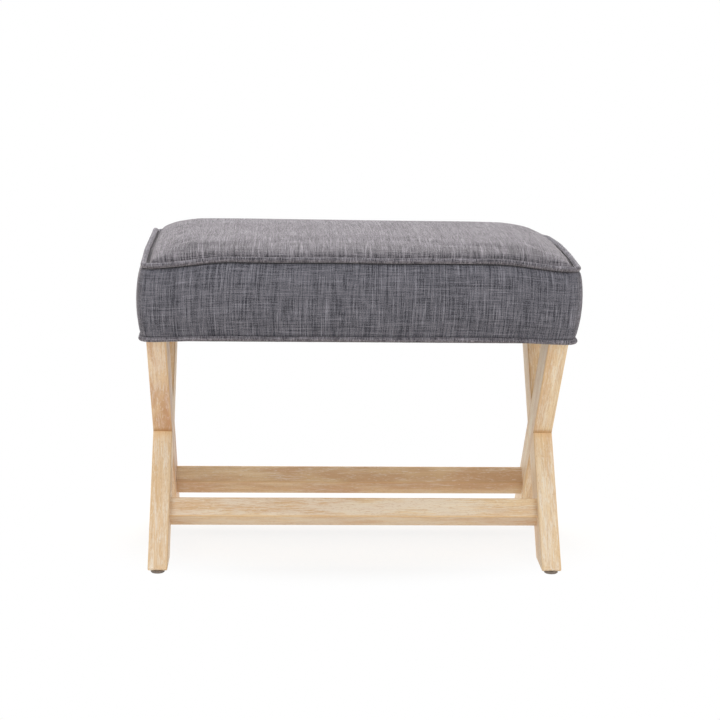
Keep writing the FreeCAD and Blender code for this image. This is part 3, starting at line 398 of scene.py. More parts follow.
def outline(stand, corner_stand=None, extra=(0, 0, 0, 0)):
    """A rounded rectangle that stands out from the seat rails: its four sides, anticlockwise from the
    front left, each a list of points from corner seam to corner seam. The corner seams hold the cloth
    in to corner_stand; extra is added to the middles of the sides."""
    tight = stand if corner_stand is None else corner_stand
    half_x, half_y = RAIL_HALF_X + tight, RAIL_HALF_Y + tight
    radius = CORNER_RADIUS + max(tight, -CORNER_RADIUS) / 2
    sides = []
    for number in range(4):
        half_length, half_depth = (half_x, half_y) if number % 2 == 0 else (half_y, half_x)
        pieces = LONG_PIECES if number % 2 == 0 else SHORT_PIECES
        run = half_length - radius
        side = [(-run - radius * math.sin(turn), radius - half_depth - radius * math.cos(turn))
                for turn in ARC_TURNS]
        side += [(run * (2 * k / pieces - 1), -half_depth) for k in range(1, pieces)]
        side += [(run + radius * math.sin(turn), radius - half_depth - radius * math.cos(turn))
                 for turn in reversed(ARC_TURNS)]
        cos, sin = ((1, 0), (0, 1), (-1, 0), (0, -1))[number]
        end = abs(side[0][0])
        points = []
        for x, y in side:
            swelling = 1 - math.exp(-(((end - abs(x)) / SWELLING_LENGTH) ** 1.5))
            y -= (stand - tight + extra[number]) * swelling
            points.append((x * cos - y * sin, x * sin + y * cos))
        sides.append(points)
    return sides


def lengths_along(side):
    """How far along a side each of its points lies."""
    total = [0.0]
    for first, second in zip(side, side[1:]):
        total.append(total[-1] + math.dist(first, second))
    return total


SIDE_RUNS = [lengths_along(side) for side in outline(MEAN_STAND)]


def lifted(z):
    """0 at the hem and below it, 1 at the top seam and above it."""
    return min(max((z - HEM_Z) / (SEAM_Z - HEM_Z), 0), 1)


RIGHT_SHIFT, STRETCH, REAR_SHIFT, CORNER_SHIFT = 0.0030, 0.0075, 0.0050, 0.0060


def leaning(x, y, z):
    """The seat's top lies a little to the right of its hem and is slightly longer, its rear edge lies a
    little to the left, and its rear right corner is drawn in."""
    rear = max(y, 0) / RAIL_HALF_Y
    right = max(x, 0) / RAIL_HALF_X
    shift = RIGHT_SHIFT + STRETCH * x - REAR_SHIFT * rear ** 2 - CORNER_SHIFT * (rear * right) ** 2
    return x + lifted(z) * shift


# These and all rows of four are for the front, right, rear and left side
SIDE_SAGS = (0.0, 0.65, 0.0, 0.0)
SIDE_SHORTENINGS = (1.0, 1.0, 0.6, 1.0)
REAR_EXTRA_DROP = 0.55
WAVES_PER_METRE = 11


def level(stand, height, corner_drop=0.0, reach=0.12, wander=0.0):
    """One level of a form round the seat. Its corners hang lower than the middles of its sides, the
    rear corners most, and on the right the whole side hangs down. Along the rear the drop is short."""
    ring = []
    for side, run, sag, shortening in zip(outline(stand), SIDE_RUNS, SIDE_SAGS, SIDE_SHORTENINGS):
        points = []
        for (x, y), along in zip(side, run):
            away = min(along / (reach * shortening), (run[-1] - along) / (reach * shortening), 1)
            rear_share = max(y, 0) / RAIL_HALF_Y * lifted(height)
            lowered = sag + (1 - sag) * (0.5 + 0.5 * math.cos(math.pi * away))
            z = height - corner_drop * (1 + REAR_EXTRA_DROP * rear_share) * lowered
            unevenness = wander * noise.noise(Vector((x * WAVES_PER_METRE, y * WAVES_PER_METRE, 0.3)))
            points.append(Vector((leaning(x, y, z), y, z + unevenness)))
        ring.append(points)
    return ring


CROWN_REACHES = (0.13, 0.100, 0.34, 0.085)
CROWN_ROLLS = (0.70, 0.30, 0.0, 0.35)
ROLL_LENGTHS = (0.016, 0.012, 0.012, 0.012)
SHOULDER_WIDTH = 0.004


def crown(rim, rise, shoulder=0.0):
    """A grid of points domed over a rim. It stands up by the shoulder beside the seam; a part of the
    rise rolls up close behind the seam, and the rest rises more slowly, over its reach."""
    top = max(point.z for side in rim for point in side) + rise
    front_row, right_column = rim[0], rim[1]
    rear_row, left_column = rim[2][::-1], rim[3][::-1]
    shares_u = [along / SIDE_RUNS[0][-1] for along in SIDE_RUNS[0]]
    shares_v = [along / SIDE_RUNS[1][-1] for along in SIDE_RUNS[1]]
    flat = []
    for j, v in enumerate(shares_v):
        row = []
        for i, u in enumerate(shares_u):
            corners = ((1 - u) * (1 - v) * front_row[0] + u * (1 - v) * front_row[-1]
                       + (1 - u) * v * rear_row[0] + u * v * rear_row[-1])
            row.append((1 - v) * front_row[i] + v * rear_row[i]
                       + (1 - u) * left_column[j] + u * right_column[j] - corners)
        flat.append(row)
    domed = []
    for j, row in enumerate(flat):
        domed.append([])
        for i, point in enumerate(row):
            away = [(point - edge).length for edge in (flat[0][i], row[-1], flat[-1][i], row[0])]
            front, right, rear, left = (
                1 - roll * math.exp(-distance / length) - (1 - roll) * (1 - min(distance / reach, 1)) ** 2
                for distance, reach, roll, length in zip(away, CROWN_REACHES, CROWN_ROLLS, ROLL_LENGTHS))
            if min(away) < 1e-6:
                height = 0.0
            else:
                height = 1 / math.sqrt((front * rear) ** -2 + (left * right) ** -2 - 1)
            beside = shoulder * (1 - math.exp(-((min(away) / SHOULDER_WIDTH) ** 2))) * (1 - height)
            domed[-1].append(Vector((point.x, point.y, point.z + height * (top - point.z) + beside)))
    return domed


def strips(rings):
    """The four side grids between levels, each from its first level to its last."""
    return [[ring[number] for ring in rings] for number in range(4)]


def plain_cloth(points):
    """Cloth coordinates in metres: lengths along a grid's middle row, and up its middle column."""
    across = lengths_along(points[len(points) // 2])
    up = lengths_along([row[len(row) // 2] for row in points])
    return [[(x - across[-1] / 2, y) for x in across] for y in up]


def sewn(name, grids, recalculate=False):
    """One mesh from grids of points, joined where their edges meet; each grid gets a material index
    and cloth coordinates of its own."""
    mesh = bmesh.new()
    uv_layer = mesh.loops.layers.uv.new("cloth")
    for number, grid in enumerate(grids):
        cloth = plain_cloth(grid)
        rows = [[mesh.verts.new(point) for point in row] for row in grid]
        for j in range(len(rows) - 1):
            for i in range(len(rows[0]) - 1):
                places = ((j, i), (j, i + 1), (j + 1, i + 1), (j + 1, i))
                face = mesh.faces.new([rows[a][b] for a, b in places])
                face.material_index = number
                face.smooth = True
                for loop, (a, b) in zip(face.loops, places):
                    loop[uv_layer].uv = cloth[a][b]
    bmesh.ops.remove_doubles(mesh, verts=mesh.verts, dist=1e-6)
    if recalculate:
        bmesh.ops.recalc_face_normals(mesh, faces=mesh.faces)
    data = bpy.data.meshes.new(name)
    mesh.to_mesh(data)
    mesh.free()
    piece = bpy.data.objects.new(name, data)
    bpy.context.scene.collection.objects.link(piece)
    return piece


def open_foam():
    material, tree, principled = new_material(
        "open_cell_foam", Roughness=0.95, Specular_IOR_Level=0.1, Sheen_Weight=0.15)
    place = add(tree, "ShaderNodeTexCoord").outputs["Object"]
    cells = add(tree, "ShaderNodeTexVoronoi", {"Vector": place, "Scale": 900.0}).outputs["Distance"]
    cloud = noise_at(tree, place, (18, 18, 18), 3.0)
    colour = blend(tree, between(tree, cloud, 0.35, 0.65), srgb(232, 224, 196), srgb(216, 202, 164))
    colour = blend(tree, between(tree, cells, 0.1, 0.5, 0.35, 0.0), colour, srgb(168, 150, 108))
    cover_surface(tree, principled, colour, cells, 0.0006, 0.7)
    return material


def dress(piece, material, slot, *replaced):
    """Give a finished soft piece its material and body, and the CAD nodes that it stands for. Its slot is not
    used.
    """
    piece.data.materials.clear()
    piece.data.materials.append(material)
    for face in piece.data.polygons:
        face.material_index = 0
    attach(piece, "root")
    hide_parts(*replaced)


HEM_STAND, BULGE_STAND, SEAM_STAND = 0.0050, 0.0160, 0.0017
HEM_FULL_STAND, SEAM_FULL_STAND = 0.0096, 0.0094
HEM_PINCH_SHARE, SEAM_PINCH_SHARE = 0.045, 0.034
SEAM_NIP = 0.003
BULGE_SHARE = 0.52
CORNER_BULGE = 0.82
SIDE_EXTRA = (0.0, 0.002, 0.0, 0.0005)
SEAM_DROP, SEAM_REACH = 0.0100, 0.12
HEM_RISE, HEM_REACH = 0.0028, 0.10
CROWN_RISE = 0.0178
HEM_LIFT = 0.0008
SEAM_WANDER = 0.0008
hem_line = level(HEM_STAND, HEM_Z + HEM_LIFT + HEM_RISE, corner_drop=HEM_RISE, reach=HEM_REACH,
                 wander=SEAM_WANDER)
seam_line = level(SEAM_STAND, SEAM_Z, corner_drop=SEAM_DROP, reach=SEAM_REACH, wander=SEAM_WANDER)


def side_level(share, inset=0.0, slack=0.0):
    """A level of the padded side, from the hem (share 0) to the top seam (share 1): full between the
    seams, and pinched where it is sewn."""
    if share < BULGE_SHARE:
        full_at_end, away = HEM_FULL_STAND, (BULGE_SHARE - share) / BULGE_SHARE
    else:
        full_at_end, away = SEAM_FULL_STAND, (share - BULGE_SHARE) / (1 - BULGE_SHARE)
    full = BULGE_STAND - (BULGE_STAND - full_at_end) * away ** 2
    pinched = (HEM_FULL_STAND - HEM_STAND) * math.exp(-((share / HEM_PINCH_SHARE) ** 2))
    seam_pinch = SEAM_FULL_STAND + SEAM_NIP - SEAM_STAND
    pinched += seam_pinch * math.exp(-(((1 - share) / SEAM_PINCH_SHARE) ** 2))
    stand = full - pinched - slack - inset
    corner_stand = min(stand, SEAM_STAND + (full - SEAM_STAND) * CORNER_BULGE - pinched - inset)
    extra = [amount * min(1, share * 3) for amount in SIDE_EXTRA]
    shell = outline(stand, corner_stand=corner_stand, extra=extra)
    ring = []
    for side, low_side, high_side in zip(shell, hem_line, seam_line):
        heights = [low.z + share * (high.z - low.z) for low, high in zip(low_side, high_side)]
        ring.append([Vector((leaning(x, y, z), y, z)) for (x, y), z in zip(side, heights)])
    return ring


FOAM_INSET, FOAM_DROP = 0.0048, 0.0098
FOAM_WALL_TOP = DECK_TOP + 0.008
foam_rim = level(SEAM_STAND - FOAM_INSET + 0.0004, SEAM_Z - FOAM_DROP, corner_drop=SEAM_DROP)
foam_rings = [level(0.0, DECK_TOP), level(0.0, FOAM_WALL_TOP),
              level(-0.001, SEAM_Z - FOAM_DROP - 0.012, corner_drop=SEAM_DROP / 2), foam_rim]
foam_base = crown(foam_rings[0], 0.0)
foam = sewn("foam_block", [foam_base, *strips(foam_rings), crown(foam_rim, CROWN_RISE)], recalculate=True)
dress(foam, open_foam(), "foam", "foam_pad")


# Batting: white polyester wadding, glued over the foam and down the rails, so that the cover lies
# smoothly on the box's edges.

def wadding():
    material, tree, principled = new_material(
        "polyester_wadding", Roughness=1.0, Specular_IOR_Level=0.1, Sheen_Weight=0.5)
    place = add(tree, "ShaderNodeTexCoord").outputs["Object"]
    fibres = noise_at(tree, place, (260, 240, 300), 5.0, 0.7)
    tufts = noise_at(tree, place, (40, 40, 40), 3.0)
    colour = blend(tree, between(tree, fibres, 0.3, 0.7), srgb(226, 226, 222), srgb(250, 250, 247))
    cover_surface(tree, principled, colour, maths(tree, "ADD", fibres, tufts), 0.0012, 0.8)
    return material


WADDING_INSET = 0.0015
WADDING_LOW = HEM_Z + 0.0062
RAIL_GAP, FOAM_GAP = 0.0003, 0.0004
wadding_rings = [level(RAIL_GAP, WADDING_LOW), level(HEM_STAND - WADDING_INSET, WADDING_LOW)]
wadding_rings += [side_level(0.08 + 0.0905 * k, inset=WADDING_INSET + 0.0008) for k in range(11)]
wadding_lining = [level(RAIL_GAP, WADDING_LOW), level(RAIL_GAP, FOAM_WALL_TOP),
                  level(SEAM_STAND - FOAM_INSET + 0.0007, SEAM_Z - FOAM_DROP + FOAM_GAP,
                        corner_drop=SEAM_DROP)]
batting = sewn("wadding_wrap", [
    *strips(wadding_rings), crown(wadding_rings[-1], CROWN_RISE, 0.002),
    *strips(wadding_lining), crown(wadding_lining[-1], CROWN_RISE + FOAM_GAP)],
    recalculate=True)
dress(batting, wadding(), "batting", "batting_wrap")


# Cover: a top panel and four boxing panels of one charcoal mélange cloth with slubby, linen-like
# yarns, sewn at the corners and round the top, drawn over the padding and stapled under the rails.

YARN_PITCH = 0.00094
STREAK_LENGTH, SLUB_LENGTH = 0.036, 0.060
CLOTH_TONE = 0.30
WARP_CONTRAST, WARP_SLUBS = 2.5, 0.60
WEFT_CONTRAST, WEFT_SLUBS = 1.8, 0.45
PLAIN_CLOTH = (srgb(55, 56, 63), srgb(152, 151, 161))
# The top panel's copy of the cloth is paler and more contrasting: painted light for the light that falls on
# the seat's top
TOP_PAINTED_LIGHT_CLOTH = (srgb(45, 43, 48), srgb(169, 164, 170))


def melange_group():
    tree, enter, leave = new_group("melange_weave", [
        ("Cloth", "NodeSocketVector", None),
        ("Seed", "NodeSocketVector", (0.0, 0.0, 0.0)),
        ("Dark", "NodeSocketColor", PLAIN_CLOTH[0]),
        ("Pale", "NodeSocketColor", PLAIN_CLOTH[1]),
        ("Turn", "NodeSocketFloat", -9.0),
        ("Low Crease", "NodeSocketFloat", -9.0),
        ("High Crease", "NodeSocketFloat", 9.0),
    ], [("Color", "NodeSocketColor"), ("Height", "NodeSocketFloat")])
    # Each yarn has a number, a tone of its own, and slubs along it
    seeded = add(tree, "ShaderNodeVectorMath", {
        0: enter.outputs["Cloth"], 1: enter.outputs["Seed"]}).outputs[0]
    drift = noise_at(tree, seeded, (7, 7, 0), 1.0)
    cloth = add(tree, "ShaderNodeVectorMath", {
        0: seeded, 1: maths(tree, "MULTIPLY", drift, 0.004)}).outputs[0]
    place = add(tree, "ShaderNodeSeparateXYZ", {0: cloth}).outputs
    tones, places = [], []
    for across, along, contrast, slub_strength in ((place[0], place[1], WARP_CONTRAST, WARP_SLUBS),
                                                   (place[1], place[0], WEFT_CONTRAST, WEFT_SLUBS)):
        yarn_place = maths(tree, "DIVIDE", across, YARN_PITCH)
        chance = add(tree, "ShaderNodeTexWhiteNoise", {"W": maths(tree, "FLOOR", yarn_place)},
                     noise_dimensions="1D").outputs["Value"]
        yarn = add(tree, "ShaderNodeCombineXYZ", {
            0: maths(tree, "MULTIPLY", chance, 400.0), 1: along}).outputs[0]
        shade = noise_at(tree, yarn, (1, 1 / STREAK_LENGTH, 0), 2.0, 0.65)
        slub = noise_at(tree, yarn, (1, 1 / SLUB_LENGTH, 0), 1.0, 0.5, offset=(9.1, 4.4, 0))
        tone = maths(tree, "MULTIPLY", maths(tree, "SUBTRACT", shade, 0.5), contrast)
        tone = maths(tree, "MULTIPLY_ADD", maths(tree, "SUBTRACT", chance, 0.5), contrast * 0.16, tone)
        tone = maths(tree, "ADD", tone, between(tree, slub, 0.58, 0.70, 0.0, slub_strength))
        tones.append(tone)
        places.append(yarn_place)
    fleck = noise_at(tree, cloth, (750, 750, 0), 2.0, 0.6, offset=(1.1, 3.2, 0))
    cloud = noise_at(tree, cloth, (16, 10, 0), 2.0, 0.5, offset=(6.2, 0.4, 0))

    # Plain weave: each yarn goes over and under the ones that cross it
    warp_round, weft_round = (maths(tree, "SINE", maths(tree, "MULTIPLY", at, math.pi)) for at in places)
    warp_over = between(tree, maths(tree, "MULTIPLY", warp_round, weft_round), -0.25, 0.25)
    share = between(tree, warp_over, 0.0, 1.0, 0.35, 0.70)
    tone = maths(tree, "MULTIPLY_ADD", tones[0], share, CLOTH_TONE)
    tone = maths(tree, "MULTIPLY_ADD", tones[1], maths(tree, "SUBTRACT", 1.0, share), tone)
    tone = maths(tree, "MULTIPLY_ADD", maths(tree, "SUBTRACT", fleck, 0.5), 1.3, tone)
    tone = maths(tree, "MULTIPLY_ADD", maths(tree, "SUBTRACT", cloud, 0.5), 0.25, tone)
    paleness = add(tree, "ShaderNodeClamp", {0: tone}).outputs[0]
    colour = blend(tree, paleness, enter.outputs["Dark"], enter.outputs["Pale"])

    # Painted shade: the cloth is darkened in the creases beside its seams and on its turn under the hem
    up = add(tree, "ShaderNodeSeparateXYZ", {0: enter.outputs["Cloth"]}).outputs[1]
    past_turn = maths(tree, "GREATER_THAN", up, enter.outputs["Turn"])
    from_low = maths(tree, "SUBTRACT", up, enter.outputs["Low Crease"])
    below_low = between(tree, from_low, -0.0004, 0.0010, 1.0, 0.0)
    from_high = maths(tree, "SUBTRACT", up, enter.outputs["High Crease"])
    above_high = between(tree, from_high, -0.0010, 0.0004)
    painted_crease_shade = maths(tree, "MAXIMUM", maths(tree, "MULTIPLY", past_turn, below_low), above_high)
    shadow = maths(tree, "SUBTRACT", 1.0, maths(tree, "MULTIPLY", painted_crease_shade, 0.72))
    colour = add(tree, "ShaderNodeVectorMath", {0: colour, "Scale": shadow}, operation="SCALE").outputs[0]

    warp_bulge = maths(tree, "MULTIPLY", maths(tree, "ABSOLUTE", warp_round), warp_over)
    weft_over = maths(tree, "SUBTRACT", 1.0, warp_over)
    weft_bulge = maths(tree, "MULTIPLY", maths(tree, "ABSOLUTE", weft_round), weft_over)
    bulges = maths(tree, "ADD", warp_bulge, weft_bulge)
    height = maths(tree, "ADD", bulges, maths(tree, "MULTIPLY", tone, 0.6))
    join_outputs(tree, leave, {"Color": colour, "Height": height})
    return tree


melange_weave = melange_group()


def melange_cloth(name, seed, colours=PLAIN_CLOTH, creases=None):
    """The cloth of one panel. Creases are three lengths up the panel: it has painted shade between the first
    two, beside the hem, and above the third, beside the top seam."""
    material, tree, principled = new_material(
        name, Roughness=0.92, Specular_IOR_Level=0.2, Sheen_Weight=0.55, Sheen_Roughness=0.22,
        Sheen_Tint=srgb(255, 246, 249))
    weave = add(tree, "ShaderNodeGroup", node_tree=melange_weave)
    tree.links.new(add(tree, "ShaderNodeUVMap", uv_map="cloth").outputs[0], weave.inputs["Cloth"])
    weave.inputs["Seed"].default_value = seed
    if creases:
        for socket_name, height in zip(("Turn", "Low Crease", "High Crease"), creases):
            weave.inputs[socket_name].default_value = height
    weave.inputs["Dark"].default_value, weave.inputs["Pale"].default_value = colours
    cover_surface(tree, principled, weave.outputs["Color"], weave.outputs["Height"], 0.0003, 0.8)
    return material


def run_modifier(piece, modifier):
    """Make a modifier's result the mesh itself."""
    bpy.ops.object.select_all(action="DESELECT")
    piece.select_set(True)
    bpy.context.view_layer.objects.active = piece
    bpy.ops.object.modifier_apply(modifier=modifier.name)


def swell(piece, held, pressure, most, moments):
    """A short cloth simulation, in which the padding presses the cloth out between its held seams. The
    padding keeps it from sinking in, and it moves no further out than most."""
    start = [(vertex.co.copy(), vertex.normal.copy()) for vertex in piece.data.vertices]
    cloth = piece.modifiers.new("cloth", "CLOTH")
    cloth.settings.quality = 6
    cloth.settings.tension_stiffness = 20
    cloth.settings.compression_stiffness = 20
    cloth.settings.shear_stiffness = 8
    cloth.settings.bending_stiffness = 1.0
    cloth.settings.shrink_min = -0.004
    cloth.settings.use_pressure = True
    cloth.settings.uniform_pressure_force = pressure
    cloth.settings.effector_weights.gravity = 0
    cloth.settings.vertex_group_mass = held
    for moment in range(1, moments + 1):
        bpy.context.scene.frame_set(moment)
    run_modifier(piece, cloth)
    bpy.context.scene.frame_set(1)
    for vertex, (origin, outward) in zip(piece.data.vertices, start):
        moved = vertex.co - origin
        moved -= outward * min(moved.dot(outward), 0)
        vertex.co = origin + moved * min(1, most / max(moved.length, 1e-9))


FLAP_EDGE = -0.0204
TURN_STAND, TURN_LIFT = 0.0022, 0.0004
CLOTH_THICKNESS = 0.0012
SLACK = 0.001
SHOULDER = 0.0034
LOW_CREASE_SHARE, HIGH_CREASE_SHARE = 0.045, 0.960

cover_rings = [level(stand, HEM_Z) for stand in (FLAP_EDGE, -0.014, -0.007, -0.0004)]
cover_rings.append(level(TURN_STAND, HEM_Z + TURN_LIFT + HEM_RISE / 2, corner_drop=HEM_RISE / 2,
                         reach=HEM_REACH))
side_shares = [0, 0.02, LOW_CREASE_SHARE, *(0.08 + 0.07 * k for k in range(13)),
               0.945, HIGH_CREASE_SHARE, 0.972, 0.986, 1]
for share in side_shares:
    cover_rings.append(side_level(share, slack=SLACK))
boxing_heights = lengths_along([ring[0][len(ring[0]) // 2] for ring in cover_rings])
first_side = len(cover_rings) - len(side_shares)
BOXING_CREASES = [boxing_heights[first_side + side_shares.index(share)]
                  for share in (0, LOW_CREASE_SHARE, HIGH_CREASE_SHARE)]

cover = sewn("seat_cover", [*strips(cover_rings), crown(cover_rings[-1], CROWN_RISE, SHOULDER)])
sewn_group = cover.vertex_groups.new(name="sewn")
panels_at = {}
for face in cover.data.polygons:
    for number in face.vertices:
        panels_at.setdefault(number, set()).add(face.material_index)
for vertex in cover.data.vertices:
    if len(panels_at[vertex.index]) > 1 or vertex.co.z < HEM_Z + 0.003:
        sewn_group.add([vertex.index], 1.0, "REPLACE")
swell(cover, "sewn", pressure=3.0, most=0.0020, moments=20)

PANEL_NODES = {"front_boxing": "boxing_front", "right_boxing": "boxing_right", "rear_boxing": "boxing_rear",
               "left_boxing": "boxing_left", "top_panel": "cover_top_panel"}
for name in PANEL_NODES:
    cover.data.materials.append(bpy.data.materials.new(name))
bpy.ops.object.select_all(action="DESELECT")
cover.select_set(True)
bpy.context.view_layer.objects.active = cover
bpy.ops.object.mode_set(mode="EDIT")
bpy.ops.mesh.separate(type="MATERIAL")
bpy.ops.object.mode_set(mode="OBJECT")
for number, panel in enumerate(bpy.context.selected_objects):
    name = panel.material_slots[panel.data.polygons[0].material_index].material.name
    panel.name = panel.data.name = name
    rounding = panel.modifiers.new("rounding", "SUBSURF")
    rounding.levels = rounding.render_levels = 1
    rounding.boundary_smooth = "PRESERVE_CORNERS"
    run_modifier(panel, rounding)
    wall = panel.modifiers.new("wall", "SOLIDIFY")
    wall.thickness = CLOTH_THICKNESS
    wall.offset = -1
    run_modifier(panel, wall)
    if name == "top_panel":
        # Painted light: the top panel gets the paler copy of the cloth
        cloth = melange_cloth("melange_cloth_top_panel", (12.7, 5.2, 0), TOP_PAINTED_LIGHT_CLOTH)
    else:
        cloth = melange_cloth(f"melange_cloth_{name}", (number * 3.17, number * 1.31, 0),
                              creases=BOXING_CREASES)
    dress(panel, cloth, "grey_cloth", PANEL_NODES[name])


# Welts: strips of the cover cloth folded round a cotton cord and sewn into the top seam, and
# stitched on round the hem.

def welt_tube(name, path, radius, sides, tip=1.0, wander=0.0):
    """A closed tube along a ring of levels; tip draws its inner side out towards the seam."""
    points = [point for side in path for point in side[:-1]]
    count = len(points)
    frames = []
    for k, point in enumerate(points):
        ahead = (points[(k + 1) % count] - points[k - 1]).normalized()
        outward = ahead.cross(Vector((0, 0, 1))).normalized()
        frames.append((point, outward, outward.cross(ahead).normalized()))
    frames.append(frames[0])
    grid = []
    for step in range(sides + 1):
        angle = 2 * math.pi * (step % sides) / sides
        row = []
        for point, outward, upward in frames:
            spot = Vector((point.x * 60, point.y * 60, angle))
            size = radius * (1 + wander * noise.noise(spot))
            if math.cos(angle) < -0.9:
                size *= tip
            row.append(point + outward * (size * math.cos(angle)) - upward * (size * math.sin(angle)))
        grid.append(row)
    return sewn(name, [grid], recalculate=True)


WELT_CLOTH = (srgb(50, 49, 55), srgb(170, 166, 174))
TOP_WELT_RADIUS, BOTTOM_WELT_RADIUS = 0.0038, 0.0034
TOP_WELT_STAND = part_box("top_welt")[1].x - RAIL_HALF_X - TOP_WELT_RADIUS
BOTTOM_WELT_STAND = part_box("bottom_welt")[1].x - RAIL_HALF_X - BOTTOM_WELT_RADIUS
BOTTOM_WELT_Z = (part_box("bottom_welt")[0].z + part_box("bottom_welt")[1].z) / 2
TOP_WELT_LIFT, BOTTOM_WELT_LIFT = 0.0009, 0.0004
WELT_THICKNESS = 0.0007
top_welt_path = level(TOP_WELT_STAND, SEAM_Z + TOP_WELT_LIFT, corner_drop=SEAM_DROP, reach=SEAM_REACH,
                      wander=SEAM_WANDER)
bottom_welt_path = level(BOTTOM_WELT_STAND, BOTTOM_WELT_Z + BOTTOM_WELT_LIFT + HEM_RISE,
                         corner_drop=HEM_RISE, reach=HEM_REACH, wander=SEAM_WANDER)
for name, path, radius, node in (
        ("top_welt_sleeve", top_welt_path, TOP_WELT_RADIUS, "top_welt"),
        ("bottom_welt_sleeve", bottom_welt_path, BOTTOM_WELT_RADIUS, "bottom_welt")):
    sleeve = welt_tube(name, path, radius, sides=12, tip=1.14, wander=0.05)
    rounding = sleeve.modifiers.new("rounding", "SUBSURF")
    rounding.levels = rounding.render_levels = 1
    run_modifier(sleeve, rounding)
    wall = sleeve.modifiers.new("wall", "SOLIDIFY")
    wall.thickness = WELT_THICKNESS
    wall.offset = -1
    run_modifier(sleeve, wall)
    dress(sleeve, melange_cloth(f"melange_cloth_{name}", (7.7, 3.3, 0), WELT_CLOTH), "grey_cloth", node)


# Welt cords: soft cotton cord of twisted strands, inside the welts.

def cotton_strands():
    material, tree, principled = new_material("cotton_strands", Roughness=0.95, Sheen_Weight=0.3)
    cloth = add(tree, "ShaderNodeUVMap", uv_map="cloth").outputs[0]
    place = add(tree, "ShaderNodeSeparateXYZ", {0: cloth}).outputs
    along = maths(tree, "MULTIPLY", place[0], 1 / 0.009)
    lay = maths(tree, "MULTIPLY_ADD", place[1], 1 / 0.0052, along)
    strand = maths(tree, "PINGPONG", maths(tree, "MULTIPLY", lay, 2.0), 1.0)
    fuzz = noise_at(tree, cloth, (1800, 1800, 0), 3.0)
    colour = blend(tree, between(tree, strand, 0.0, 0.6), srgb(188, 176, 150), srgb(236, 230, 214))
    cover_surface(tree, principled, colour, maths(tree, "ADD", strand, fuzz), 0.0006, 0.8)
    return material


CORD_RADIUS = 0.0025
cotton = cotton_strands()
for name, path, node in (("top_cord", top_welt_path, "top_welt_cord"),
                         ("bottom_cord", bottom_welt_path, "bottom_welt_cord")):
    cord = welt_tube(name, path, CORD_RADIUS, sides=10)
    dress(cord, cotton, "cotton_cord", node)


# Dust cover: black cambric under the seat, its edges turned in and stapled to the rails. It is drawn
# nearly flat and sags a little between the rails.

def black_cambric():
    material, tree, principled = new_material("black_cambric", Roughness=0.9, Specular_IOR_Level=0.25)
    place = add(tree, "ShaderNodeTexCoord").outputs["Object"]
    fibres = noise_at(tree, place, (1400, 1400, 1400), 4.0, 0.7)
    press = add(tree, "ShaderNodeTexVoronoi", {"Vector": place, "Scale": 700.0}).outputs["Distance"]
    colour = blend(tree, between(tree, fibres, 0.35, 0.7), srgb(24, 24, 26), srgb(48, 48, 51))
    cover_surface(tree, principled, colour, maths(tree, "ADD", press, fibres), 0.0002, 0.6)
    return material


cambric_low, cambric_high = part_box("dust_cover")
CAMBRIC_STAND = cambric_high.x - RAIL_HALF_X
CAMBRIC = 0.00035
CAMBRIC_HEM = 0.015
FREE_HALF_X, FREE_HALF_Y = 0.262, 0.185
SAG, RIPPLE = 0.0024, 0.0005
cambric_rings = [level(CAMBRIC_STAND - inward, cambric_high.z - CAMBRIC / 2)
                 for inward in (CAMBRIC_HEM, 0.008, 0.0003)]
cambric_rings += [level(CAMBRIC_STAND, (cambric_low.z + cambric_high.z) / 2),
                  level(CAMBRIC_STAND - 0.0003, cambric_low.z + CAMBRIC / 2)]
cambric_field = crown(cambric_rings[-1], 0.0)
for row in cambric_field:
    for point in row:
        room = min(FREE_HALF_X - abs(point.x), FREE_HALF_Y - abs(point.y))
        if room > 0:
            sag = SAG * (1 - math.exp(-room / 0.05))
            waves = noise.noise(Vector((point.x * 14, point.y * 18, 3.0)))
            point.z -= sag + RIPPLE * (1 - math.exp(-room / 0.02)) * waves
dust_cover = sewn("cambric_sheet", [*strips(cambric_rings), cambric_field])
wall = dust_cover.modifiers.new("wall", "SOLIDIFY")
wall.thickness = CAMBRIC
wall.offset = 0
run_modifier(dust_cover, wall)
dress(dust_cover, black_cambric(), "black_cambric", "dust_cover")


# Studio: a white floor that keeps the soft shadow, white all round, one large soft box high up behind
# the seat and a weaker one at either side of the front.

def seen_or_reflected(tree):
    """1 for the camera and for reflections and refractions, 0 for the light that falls on the object."""
    path = add(tree, "ShaderNodeLightPath").outputs
    seen = maths(tree, "ADD", path["Is Camera Ray"], path["Is Glossy Ray"])
    return maths(tree, "MINIMUM", maths(tree, "ADD", seen, path["Is Transmission Ray"]), 1.0)


bpy.ops.mesh.primitive_plane_add(size=20)
floor = bpy.context.object
floor.name = "studio_floor"
floor_material, tree, principled = new_material(
    "studio_floor", Roughness=0.9, Base_Color=srgb(232, 224, 214), Specular_IOR_Level=0.0)
white = add(tree, "ShaderNodeEmission", {"Color": (1, 1, 1, 1), "Strength": 1.0})
from_middle = add(tree, "ShaderNodeVectorMath", {0: add(tree, "ShaderNodeTexCoord").outputs["Object"],
                                                 1: (0, 0.10, 0)}, operation="SUBTRACT")
flattened = add(tree, "ShaderNodeVectorMath", {0: from_middle.outputs[0], 1: (1.0, 1.4, 0)},
                operation="MULTIPLY")
away = add(tree, "ShaderNodeVectorMath", {0: flattened.outputs[0]}, operation="LENGTH")
whiteness = between(tree, away.outputs["Value"], 0.28, 0.50, 0.82, 1.0)
lit = add(tree, "ShaderNodeMixShader", {0: maths(tree, "MULTIPLY", seen_or_reflected(tree), whiteness),
                                        1: principled.outputs[0], 2: white.outputs[0]})
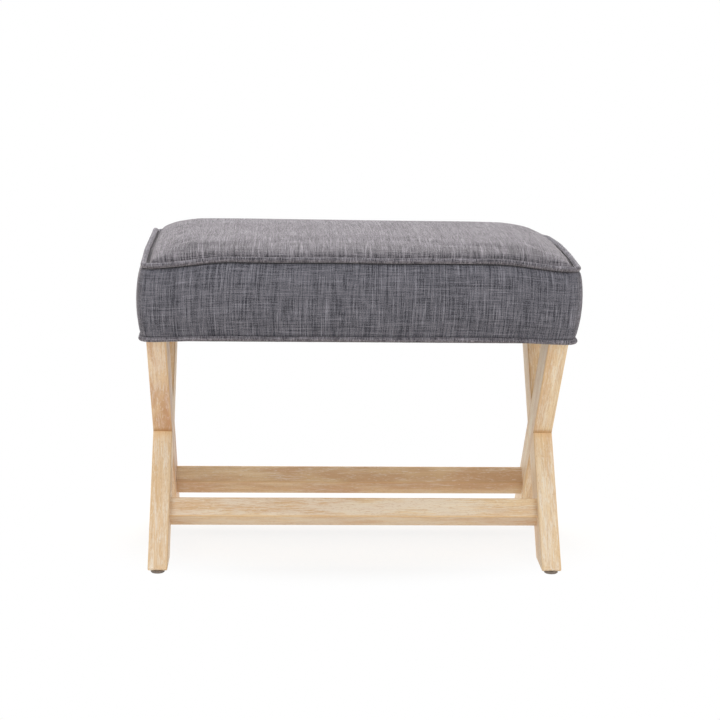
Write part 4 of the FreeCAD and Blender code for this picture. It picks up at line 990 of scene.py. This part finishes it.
tree.links.new(lit.outputs[0], tree.nodes["Material Output"].inputs["Surface"])
floor.data.materials.append(floor_material)

world = bpy.data.worlds.new("studio_light")
bpy.context.scene.world = world
world.use_nodes = True
tree = world.node_tree
around = tree.nodes["Background"]
around.inputs["Color"].default_value = (1, 1, 1, 1)
tree.links.new(maths(tree, "MULTIPLY_ADD", seen_or_reflected(tree), 0.3, 0.7), around.inputs["Strength"])


def soft_box(name, location, target, size, power):
    """A square lamp that faces a target."""
    light = bpy.data.lights.new(name, "AREA")
    light.shape = "SQUARE"
    light.size = size
    light.energy = power
    lamp = bpy.data.objects.new(name, light)
    lamp.location = location
    lamp.rotation_euler = (Vector(target) - Vector(location)).to_track_quat("-Z", "Y").to_euler()
    bpy.context.scene.collection.objects.link(lamp)


soft_box("overhead_soft_box", (-0.1, 1.8, 2.3), (0, 0, 0.4), size=1.8, power=94)
soft_box("front_left_soft_box", (-1.7, -2.6, 1.7), (0, 0, 0.25), size=1.6, power=21)
soft_box("front_right_soft_box", (1.7, -2.6, 1.7), (0, 0, 0.25), size=1.6, power=22.5)

# The camera stands where the photograph was taken from
CAMERA_PLACE = Vector((-0.1084, -2.93345, 0.85322))
camera_data = bpy.data.cameras.new("camera")
camera_data.sensor_width = 36
camera_data.lens = 99.93
camera_data.clip_end = 50
camera = bpy.data.objects.new("camera", camera_data)
bpy.context.scene.collection.objects.link(camera)
pitch, yaw, roll = math.radians(11.10), math.radians(2.31), math.radians(0.78)
forward = Vector((math.sin(yaw) * math.cos(pitch), math.cos(yaw) * math.cos(pitch), -math.sin(pitch)))
level_right = Vector((math.cos(yaw), -math.sin(yaw), 0))
level_up = level_right.cross(forward)
right = math.cos(roll) * level_right + math.sin(roll) * level_up
up = math.cos(roll) * level_up - math.sin(roll) * level_right
turn = Matrix((right, up, -forward)).transposed().to_4x4()
camera.matrix_world = Matrix.Translation(CAMERA_PLACE) @ turn
bpy.context.scene.camera = camera

bpy.context.scene.view_settings.view_transform = "Standard"
